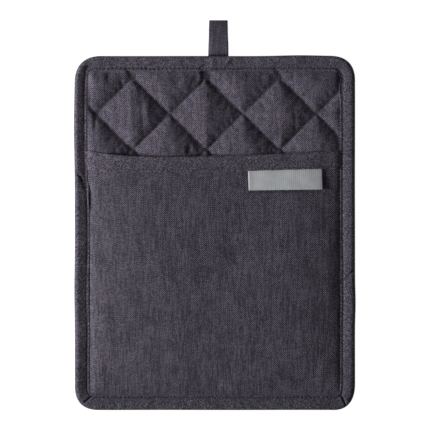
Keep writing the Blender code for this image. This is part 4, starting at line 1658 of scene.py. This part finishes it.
    def _quilt(self, stitch: Stitch) -> None:
        """Sew the diagonal lines, through to the back.

        Args:
            stitch: that they are sewn with.
        """
        furthest, places = 8, 1201  # lines to each side, and points along one
        under = 0.001  # how far they run on under the binding
        begins, ends = [], []
        steps = np.linspace(-furthest, furthest, places)
        for number in range(-furthest, furthest + 1):
            for rising in (True, False):
                a = np.full_like(steps, number) if rising else steps
                b = steps if rising else np.full_like(steps, number)
                x = self.crossing[0] + self.period_x * (a + b) / 2
                y = self.crossing[1] + self.period_y * (a - b) / 2
                inside = np.min(self.outline.inner_distances(x, y), axis=0) > -under
                if inside.sum() > 3:
                    line = np.stack([x, y, 0 * x], -1)[inside]
                    begin, end = stitch.along(line)
                    begins.append(begin)
                    ends.append(end)
        begin, end = np.concatenate(begins), np.concatenate(ends)
        for name, surface, out in (("quilting_front", self.front, 1.0),
                                   ("quilting_back", self.back, -1.0)):
            placed = []
            for point in (begin, end):
                height = surface(point[:, 0], point[:, 1]) + out * self.thread_lift
                placed.append(np.concatenate([point[:, :2], height[:, None]], -1))
            stitch.sew(name, placed[0], placed[1], out, "quilted_linen")


# ---------------------------------------------------------------- the pocket
@dataclass(frozen=True)
class Pocket:
    """The plain linen panel over the lower part of the front, open at its upper edge."""

    outline: Outline
    inset: float = 0.0034  # of its cut edge from the outer edge
    edge_z: float = 0.0063
    rise: tuple[float, float] = (0.0062, 0.0049)  # towards the middle, left and right
    side_reach: float = 0.065
    bottom_reach: float = 0.075
    mouth_drop: float = 0.42  # share by which it sinks back to the pad at its mouth
    mouth_drop_reach: float = 0.060
    seam_bulge: tuple[float, float] = (0.0023, 0.0015)  # beside the binding, left and right
    seam_bulge_reach: float = 0.0021
    billow: float = 0.00050  # broad random hills
    ripple: float = 0.00022  # and small ones
    mouth_low: tuple[float, float] = (-0.035, 0.0459)  # the mouth's lowest place
    mouth_end_rise: float = 0.0051
    mouth_power_left: float = 3.0
    mouth_power_right: float = 1.8
    fold_radius: float = 0.0009  # of the strip round its upper edge
    spacing: float = 0.0013  # of its points, which are closer near the two sides
    edge_reach: float = 0.016
    edge_columns: int = 24
    saved_columns: int = 20  # that the rest has fewer for it
    creases: tuple[Crease, ...] = (
        Crease((-94.0, -118.0), (-86.0, -140.0), 5.0, 0.9),
        Crease((94.5, -102.0), (68.0, -146.0), 6.0, 0.4, bow=3.0),
        Crease((82.0, -112.0), (60.0, -142.0), 4.5, -0.4, bow=3.0),
        Crease((-2.0, -133.0), (12.0, -141.0), 3.0, -0.8),
        Crease((8.0, -131.0), (22.0, -140.5), 3.0, 0.6),
        Crease((46.0, -131.0), (58.0, -140.5), 3.0, -0.8),
        Crease((58.0, -130.0), (72.0, -139.5), 3.0, 0.6),
        Crease((12.0, -18.0), (18.0, -42.0), 9.0, -0.5),
        Crease((-20.0, -20.0), (-17.0, -48.0), 7.0, 0.3),
    )
    edge_tucks: tuple[Crease, ...] = (
        # a crevice beside the left seam, darkened by painted shade
        Crease((-98.2, 22.0), (-97.6, 4.0), 0.75, -2.2),
        Crease((-96.5, 13.0), (-92.0, 10.0), 1.6, -0.3),
        Crease((28.0, 18.3), (84.0, 19.1), 1.2, -1.8),  # pressed by the tab, with painted shadow under its lower edge
        # beside the tab's right end, with painted shadow
        Crease((85.3, 35.0), (85.5, 20.5), 1.0, -0.9),
    )
    tuck_painted_shade: float = 0.8  # painted shade in a tuck, for each millimetre of its depth

    def height(self, x: Array, y: Array) -> Array:
        """Height of the middle of the panel's cloth.

        Args:
            x: places across.
            y: places along.

        Returns:
            The height at each place.
        """
        left, right, _, bottom = self.outline.inner_distances(x, y)
        side = np.minimum(left, right)
        change_x, change_reach = -0.05, 0.13  # where the left values give way to the right
        seam, side_free, bottom_free = 0.001, 0.010, 0.008  # inward from the binding
        rightward = smooth_step((x - change_x) / change_reach)
        stretched = between(self.rise, rightward) * swell(side, self.side_reach)
        stretched = stretched * swell(bottom, self.bottom_reach)
        bulge = between(self.seam_bulge, rightward) * puffed(side, self.seam_bulge_reach)
        bulge = bulge * puffed(bottom, self.seam_bulge_reach)
        free = smooth_step((side - seam) / side_free) * smooth_step((bottom - seam) / bottom_free)
        sunk = self.mouth_drop * smooth_step(1 - (self.mouth_low[1] - y) / self.mouth_drop_reach)
        stretched = stretched * (1 - sunk)
        loose = creased(x, y, self.creases)
        tucked = creased(x, y, self.edge_tucks)
        loose = loose + self.billow * Undulation(31, 0.034, 0.047).at(x, y)
        loose = loose + self.ripple * Undulation(32, 0.013, 0.021).at(x, y)
        return self.edge_z + stretched + bulge + free * loose + tucked

    def mouth_y(self, x: Array) -> Array:
        """Where the mouth runs: lowest left of the middle, rising to both ends.

        Args:
            x: places across.

        Returns:
            Its y at each place.
        """
        low_x, low_y = self.mouth_low
        end = self.outline.half_width - self.outline.band
        left = np.clip((low_x - x) / (low_x + end), 0.0, 1.0) ** self.mouth_power_left
        right = np.clip((x - low_x) / (end - low_x), 0.0, 1.0) ** self.mouth_power_right
        return low_y + self.mouth_end_rise * np.where(x < low_x, left, right)

    def fold_y(self, x: Array) -> Array:
        """Where the panel ends at the mouth, inside the fold that binds it."""
        return self.mouth_y(x) - CLOTH / 2 - self.fold_radius

    def _bottom_y(self, x: Array) -> Array:
        """Where the panel ends below, following the rounded corners.

        Args:
            x: places across.

        Returns:
            Its y at each place.
        """
        bottom = np.full(np.shape(x), self.outline.low[1] + self.inset)
        for corner in self.outline.corners:
            if corner.side_y < 0:
                past = corner.side_x * x - self.outline.half_width + corner.reach_x
                past = np.clip(past / (corner.reach_x - self.inset), 0.0, 1.0)
                power = self.outline.power
                rounded = 1 - (1 - past ** power) ** (1 / power)
                bottom = bottom + (corner.reach_y - self.inset) * rounded
        return bottom

    def build(self, cloth: Material) -> None:
        """Make the panel.

        Args:
            cloth: its material.
        """
        half = self.outline.half_width - self.inset
        columns = round(2 * half / self.spacing) - self.saved_columns
        inner = np.linspace(-half + self.edge_reach, half - self.edge_reach, columns)
        edge = np.linspace(0, self.edge_reach, self.edge_columns, endpoint=False)
        across = np.concatenate([-half + edge, inner, (half - edge)[::-1]])
        bottom, top = self._bottom_y(across), self.fold_y(across)
        rows = round((top.max() - bottom.min()) / self.spacing)
        share = np.linspace(0, 1, rows)[:, None]
        y = bottom + (top - bottom) * share
        x = np.broadcast_to(across, y.shape)
        points = np.stack([x, y, self.height(x, y)], -1)
        # painted shade in the tucks
        painted_shade = self.tuck_painted_shade * creased(x, y, self.edge_tucks) / MM
        panel = sheet_object("pocket_cloth", points, np.stack([x, y], -1), CLOTH, painted_shade)
        finish_piece(panel, cloth, "plain_linen", "pocket_panel")


@dataclass(frozen=True)
class MouthBinding:
    """The bias strip folded over the pocket's mouth, sewn down just above its lower edge."""

    pocket: Pocket
    lower_y: float = 0.0340  # of its lower edge, left of the middle
    lower_rise: float = 0.0027  # up to the right end
    left_rise: float = 0.0016  # at the left end
    left_rise_from: float = 0.080  # left of the middle, where that begins
    left_rise_reach: float = 0.020
    jag: float = 0.00022  # of the lower edge, from stitch to stitch
    stitch_rise: float = 0.0014  # of the row above the lower edge
    stitch_dent: float = 0.00018
    dent_width: float = 0.0008
    ease: float = 0.00006  # small hills of the cloth
    leg_gap: float = 0.00090  # from the panel's middle to that of a leg
    back_end: float = 0.6 * MM  # how much higher the back leg ends than the front one
    thickness: float = 0.0007
    thread_lift: float = 0.00006  # of the thread's middle above the cloth
    tuck_left: float = 0.0006  # how far its ends run in under the binding
    tuck_right: float = 0.0008
    columns: int = 240
    front_rows: int = 15
    fold_rows: int = 8
    back_rows: int = 9
    fold_wear: float = 0.12  # paler dye along the fold

    def straight_edge(self, x: Array) -> Array:
        """Lower edge of the strip without its small unevenness."""
        end = self.pocket.outline.half_width - self.pocket.outline.band
        return self.lower_y + self.lower_rise * np.clip(x / end, 0.0, 1.0)

    def lower_edge(self, x: Array) -> Array:
        """Lower edge of the strip on the front, a little jagged along its stitches."""
        jag = self.jag * Undulation(41, 0.0037, 1.0).at(x, 0 * x)
        end = smooth_step((-x - self.left_rise_from) / self.left_rise_reach)
        return self.straight_edge(x) + jag + self.left_rise * end

    def front_height(self, x: Array, y: Array) -> Array:
        """Height of the middle of the strip's front leg.

        Args:
            x: places across.
            y: places along.

        Returns:
            The height at each place.
        """
        held = np.exp(-((y - self.lower_edge(x) - self.stitch_rise) / self.dent_width) ** 2)
        ease = self.ease * Undulation(42, 0.0035, 0.02).at(x, y)
        return self.pocket.height(x, y) + self.leg_gap - self.stitch_dent * held + ease

    def build(self, cloth: Material, stitch: Stitch) -> None:
        """Make the strip and its stitches.

        Args:
            cloth: the strip's material.
            stitch: that its row is sewn with.
        """
        outline = self.pocket.outline
        left = -outline.half_width + outline.band_left_top - self.tuck_left
        right = outline.half_width - outline.band + self.tuck_right
        x_line = np.linspace(left, right, self.columns)
        fold = self.pocket.fold_y(x_line)
        lower = self.lower_edge(x_line)
        base = self.pocket.height(x_line, fold)
        rows = []
        for share in np.linspace(0, 1, self.front_rows):
            y = lower + (fold - lower) * share
            rows.append(np.stack([x_line, y, self.front_height(x_line, y)], -1))
        lift = self.front_height(x_line, fold) - base
        for angle in np.linspace(0, np.pi, self.fold_rows + 2)[1:-1]:
            y = fold + self.pocket.fold_radius * math.sin(angle)
            rows.append(np.stack([x_line, y, base + lift * math.cos(angle)], -1))
        for share in np.linspace(0, 1, self.back_rows):
            y = fold + (lower + self.back_end - fold) * share
            rows.append(np.stack([x_line, y, self.pocket.height(x_line, y) - self.leg_gap], -1))
        points = np.stack(rows)
        flat = np.stack([points[..., 0], flat_lengths(points, 0)], -1)
        wear_and_shade = np.zeros(points.shape[:2])
        wear_and_shade[self.front_rows - 3:self.front_rows + self.fold_rows - 1] = self.fold_wear
        strip = sheet_object("mouth_strip", points, flat, self.thickness, wear_and_shade)
        finish_piece(strip, cloth, "bias_linen", "mouth_binding")
        margin, seam_points = 0.002, 400  # at the ends of the row
        x_seam = np.linspace(left + margin, right - margin, seam_points)
        y_seam = self.lower_edge(x_seam) + self.stitch_rise
        surface = CLOTH / 2 + self.thread_lift
        front = self.front_height(x_seam, y_seam) + surface
        back = self.pocket.height(x_seam, y_seam) - self.leg_gap - surface
        for name, out, z_seam in (("mouth_stitches_front", 1.0, front),
                                  ("mouth_stitches_back", -1.0, back)):
            begins, ends = stitch.along(np.stack([x_seam, y_seam, z_seam], -1))
            stitch.sew(name, begins, ends, out, "bias_linen")


# ---------------------------------------------------------------- the loop and the tab
@dataclass(frozen=True)
class HangingLoop:
    """A linen tape folded over on itself, its two tails sewn behind the binding."""

    outline: Outline
    reach: float  # how far it stands out past the holder's edge
    width: float = 0.0147
    side_gap: float = 0.0006  # that its rounded sides take up
    base_flare: float = 0.0011  # how much wider it lies at the holder's edge
    flare_reach: float = 0.020
    middle_x: float = 0.0027
    lower_z: float = 0.0006
    upper_z: float = 0.0019
    lift: float = 0.00015  # of it all above the surface below
    fold_radius: float = 0.0009
    hump: float = 0.0046  # of the upper layer, where a hook goes in
    hump_power: float = 0.68
    entry: float = 0.0015  # how far in under the binding the hump ends
    tail: float = 0.0128
    seam_inset: float = 0.0019
    wander: float = 0.00018  # of its two sides
    roll: float = 0.00030  # by which its left side turns down
    roll_from: float = 0.34  # where that begins, as a share of the width from the middle
    roll_reach: float = 0.16
    dent: float = 0.00006  # along its stitches
    dent_width: float = 0.0005
    ripple: float = 0.00016
    held_share: float = 0.3  # of those last three in the lower layer and the fold
    thickness: float = 0.0009
    upper_from: int = 51  # the first row of points of the upper layer
    seam_rows: tuple[int, int] = (56, -15)  # between which the stitches run
    seam_column: int = 3  # from either side

    def _path(self) -> Array:
        """Lay the tape's middle line: out along the surface, over, and back in a hump.

        Returns:
            Its y and z, point by point.
        """
        top = self.outline.high[1]
        fold_y = top + self.reach - CLOTH / 2 - self.fold_radius
        path = [(y, self.lower_z) for y in np.linspace(top - self.tail, fold_y, 44)]
        for angle in np.linspace(-np.pi / 2, np.pi / 2, 10)[1:]:
            path.append((fold_y + self.fold_radius * math.cos(angle),
                         self.lower_z + self.fold_radius * (1 + math.sin(angle))))
        fold_top = path[-1][1]
        for share in np.linspace(0, 1, 40)[1:]:
            base = fold_top + (self.upper_z - fold_top) * share
            rise = self.hump * max(0.0, math.sin(math.pi * share)) ** self.hump_power
            path.append((fold_y + (top - self.entry - fold_y) * share, base + rise))
        path += [(y, self.upper_z) for y in np.linspace(top - self.entry, top - self.tail, 14)[1:]]
        return np.array(path)

    def build(self, cloth: Material, stitch: Stitch) -> None:
        """Make the tape and its edge stitches.

        Args:
            cloth: the tape's material.
            stitch: that its edges are sewn with.
        """
        path = self._path()
        share = np.linspace(-0.5, 0.5, 25)
        y = np.broadcast_to(path[:, :1], (len(path), len(share)))
        top = self.outline.high[1]
        flare = self.base_flare * smooth_step(1 - (y - top) / self.flare_reach)
        wander = self.wander * Undulation(51, 0.009, 0.009).at(y, np.sign(share) + 0 * y)
        x = self.middle_x + (self.width - self.side_gap + flare) * share
        x = x + wander * np.abs(share) * 2
        rolled = -self.roll * smooth_step((-share - self.roll_from) / self.roll_reach)
        from_seam = (0.5 - np.abs(share)) * self.width - self.seam_inset
        sewn = -self.dent * np.exp(-(from_seam / self.dent_width) ** 2)
        ripple = self.ripple * Undulation(52, 0.006, 0.005).at(x, y)
        covered, free_reach = 0.001, 0.004  # where the holder's edge still holds it
        free = smooth_step((y - top + covered) / free_reach)
        upper = np.arange(len(path))[:, None] >= self.upper_from
        detail = (rolled + sewn + ripple) * free * np.where(upper, 1.0, self.held_share)
        z = path[:, 1:] + self.lift + detail
        points = np.stack([x, y, z], -1)
        walked = flat_lengths(points, 0)
        flat = np.stack([x, walked], -1)
        tape = sheet_object("loop_tape", points[:, ::-1], flat[:, ::-1], self.thickness)
        tape.data.flip_normals()
        finish_piece(tape, cloth, "tape_linen", "hanging_loop")
        self._sew(points, stitch)

    def _sew(self, points: Array, stitch: Stitch) -> None:
        """Sew the tape's two edges on its upper layer.

        Args:
            points: of the tape's middle.
            stitch: that the edges are sewn with.
        """
        begins, ends = [], []
        for column in (self.seam_column, -self.seam_column - 1):
            line = points[slice(*self.seam_rows), column] + np.array([0.0, 0.0, CLOTH / 2])
            begin, end = stitch.along(line)
            begins.append(begin)
            ends.append(end)
        begin, end = np.concatenate(begins), np.concatenate(ends)
        stitch.sew("loop_stitches", begin, end, 1.0, "tape_linen")


@dataclass(frozen=True)
class WovenTab:
    """A bare satin ribbon, its ends folded under, its upper edge caught by the strip."""

    strip: MouthBinding
    length: float = 0.0568
    width: float = 0.0153
    middle_x: float = 0.0549
    lean: float = 0.00054  # how much further right its lower edge lies
    sag: float = 0.0008  # how much lower its right end hangs
    gap: float = 0.0004  # under the flat ribbon
    end_lift: float = 0.0012  # how far its right end stands up
    lower_curl: float = 0.0005
    left_curl: float = 0.0001
    thickness: float = 0.0005
    tuck: float = 0.0016  # of its upper edge, in part under the strip
    tuck_share: float = 0.6
    fold_steps: int = 6
    fold_reach: float = 0.0042
    fold_radius: float = 0.00030

    def build(self, ribbon: Material) -> None:
        """Make the ribbon with its folded ends.

        Args:
            ribbon: its material.
        """
        along = np.linspace(-0.5, 0.5, 70)
        share = np.linspace(0, 1, 18)[:, None]
        x = self.middle_x + self.length * along + self.lean * (1 - share)
        top = self.strip.straight_edge(x)
        y_low = top[0] - self.width - self.sag * (along + 0.5)
        y = y_low + (top + self.tuck * self.tuck_share - y_low) * share
        lift_power, lift_lost = 1.5, 0.55  # along the tab, and the share lost up to the strip
        low_reach, left_from, left_reach = 0.12, 0.44, 0.06  # of its curled edges
        under_from, under_reach, under_gap = 0.86, 0.1, 0.05 * MM  # where the strip holds it
        surface = self.strip.pocket.height(x, y) + CLOTH / 2
        lift = self.end_lift * smooth_step(along + 0.5) ** lift_power * (1 - lift_lost * share)
        curl = (self.lower_curl * smooth_step((low_reach - share) / low_reach)
                + self.left_curl * smooth_step((-along - left_from) / left_reach))
        z = surface + self.gap + lift + curl
        under = smooth_step((share - under_from) / under_reach)
        z = z + (surface + under_gap - z) * under
        face = np.stack([x, y, z], -1)
        right = self._folded_end(face[:, -1], +1)
        left = self._folded_end(face[:, 0], -1)
        points = np.concatenate([left[:, ::-1], face, right], axis=1)
        flat = np.stack([flat_lengths(points, 1), points[..., 1]], -1)
        tab = sheet_object("satin_tab", points, flat, self.thickness)
        finish_piece(tab, ribbon, "grey_satin", "woven_tab")

    def _folded_end(self, edge: Array, side: int) -> Array:
        """Points of an end that is turned under, from the edge of the face.

        Args:
            edge: the face's last column of points.
            side: +1 for the right end, -1 for the left.

        Returns:
            Rows by points, going away from the face.
        """
        shifts = []
        for angle in np.linspace(0, np.pi, self.fold_steps + 1)[1:]:
            shifts.append((side * self.fold_radius * math.sin(angle), 0.0,
                           -self.fold_radius * (1 - math.cos(angle))))
        for share in np.linspace(0, 1, self.fold_steps + 1)[1:]:
            shifts.append((-side * self.fold_reach * share, 0.0, -2 * self.fold_radius))
        return edge[:, None] + np.array(shifts)


# ---------------------------------------------------------------- the studio
@dataclass(frozen=True)
class Studio:
    """A pale sweep, a camera straight above, one grazing key light and an even sky."""

    view_width: float = 0.3376  # of what the picture shows
    view_height: float = 0.00575  # above the surface below, where it is that wide
    lens: float = 400.0  # in millimetres, as the sensor
    sensor: float = 36.0
    key_distance: float = 1.2
    key_size: float = 0.34
    key_turn: float = 3.0  # below the left side, in degrees
    key_rise: float = 24.0  # above the floor
    key_power: float = 42.0
    sky: float = 0.30
    floor_size: float = 6.0
    floor_z: float = -0.0002

    def build(self) -> None:
        """Make the floor, the camera and the lights."""
        self._floor()
        self._camera()
        self._lights()
        bpy.context.scene.view_settings.view_transform = "Standard"
        bpy.context.scene.cycles.use_denoising = False  # it would blur the threads away

    def _floor(self) -> None:
        """A wide flat sweep under the holder."""
        bpy.ops.object.select_all(action="DESELECT")
        bpy.ops.mesh.primitive_plane_add(size=self.floor_size, location=(0.0, 0.0, self.floor_z))
        floor = bpy.context.object
        floor.name = "studio_sweep"
        bpy.ops.object.transform_apply(location=True, rotation=True, scale=True)
        floor.data.materials.append(Sweep().material())
        floor.visible_diffuse = False  # its glow stays off the holder, as on a masked set
        floor.visible_glossy = False

    def _camera(self) -> None:
        """A long lens straight above, the loop upward in the picture."""
        data = bpy.data.cameras.new("camera")
        data.lens, data.sensor_width = self.lens, self.sensor
        camera = bpy.data.objects.new("camera", data)
        bpy.context.scene.collection.objects.link(camera)
        distance = self.view_width * self.lens / self.sensor
        camera.location = (0.0, 0.0, self.view_height + distance)
        bpy.context.scene.camera = camera

    def _lights(self) -> None:
        """The key light from the left and slightly below, and an even sky."""
        turn, rise = math.radians(self.key_turn), math.radians(self.key_rise)
        towards = Vector((-math.cos(turn) * math.cos(rise), -math.sin(turn) * math.cos(rise),
                          math.sin(rise)))
        data = bpy.data.lights.new("key", "AREA")
        data.energy, data.size = self.key_power, self.key_size
        key = bpy.data.objects.new("key", data)
        key.location = towards * self.key_distance
        key.rotation_euler = towards.to_track_quat("Z", "Y").to_euler()
        bpy.context.scene.collection.objects.link(key)
        world = bpy.data.worlds.new("studio")
        world.use_nodes = True
        backdrop = world.node_tree.nodes["Background"]
        backdrop.inputs["Color"].default_value = (1.0, 1.0, 1.0, 1.0)
        backdrop.inputs["Strength"].default_value = self.sky
        bpy.context.scene.world = world


def main() -> None:
    """Dress the pot holder piece by piece."""
    logging.basicConfig(level=logging.INFO, format="%(message)s")
    low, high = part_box("edge_binding")
    outline = Outline((low.x, low.y), (high.x, high.y))
    plain = Linen("washed plain-weave linen", tone=0.46)
    bias = Linen("bias-cut plain-weave linen", turn=45.0, thread_mm=0.555, warp_contrast=0.7,
                 weft_contrast=0.9, speck_contrast=1.08, check_contrast=0.3, streak_contrast=0.10)
    plain_cloth, bias_cloth = plain.material(), bias.material()
    quilt_cloth = Linen("quilted plain-weave linen", tone=0.56, warp_contrast=1.0,
                        weft_contrast=0.70, speck_contrast=0.48, check_contrast=0.42).material()
    stitch = Stitch(SewingThread().material())
    Studio().build()
    pocket = Pocket(outline)
    QuiltedPad(outline, pocket).build(quilt_cloth, stitch)
    pocket.build(plain_cloth)
    strip = MouthBinding(pocket)
    strip.build(bias_cloth, stitch)
    EdgeBinding(outline).build(bias_cloth, stitch)
    loop_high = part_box("hanging_loop")[1]
    tape_thread = SewingThread("pale polyester sewing thread", "#2E2A34", "#46414C").material()
    tape_cloth = Linen("linen tape", tone=0.52, warp_contrast=1.1, weft_contrast=0.7,
                       speck_contrast=0.25, check_contrast=0.12).material()
    HangingLoop(outline, loop_high.y - high.y).build(tape_cloth, Stitch(tape_thread))
    WovenTab(strip).build(Ribbon().material())


if __name__ == "__main__":
    main()
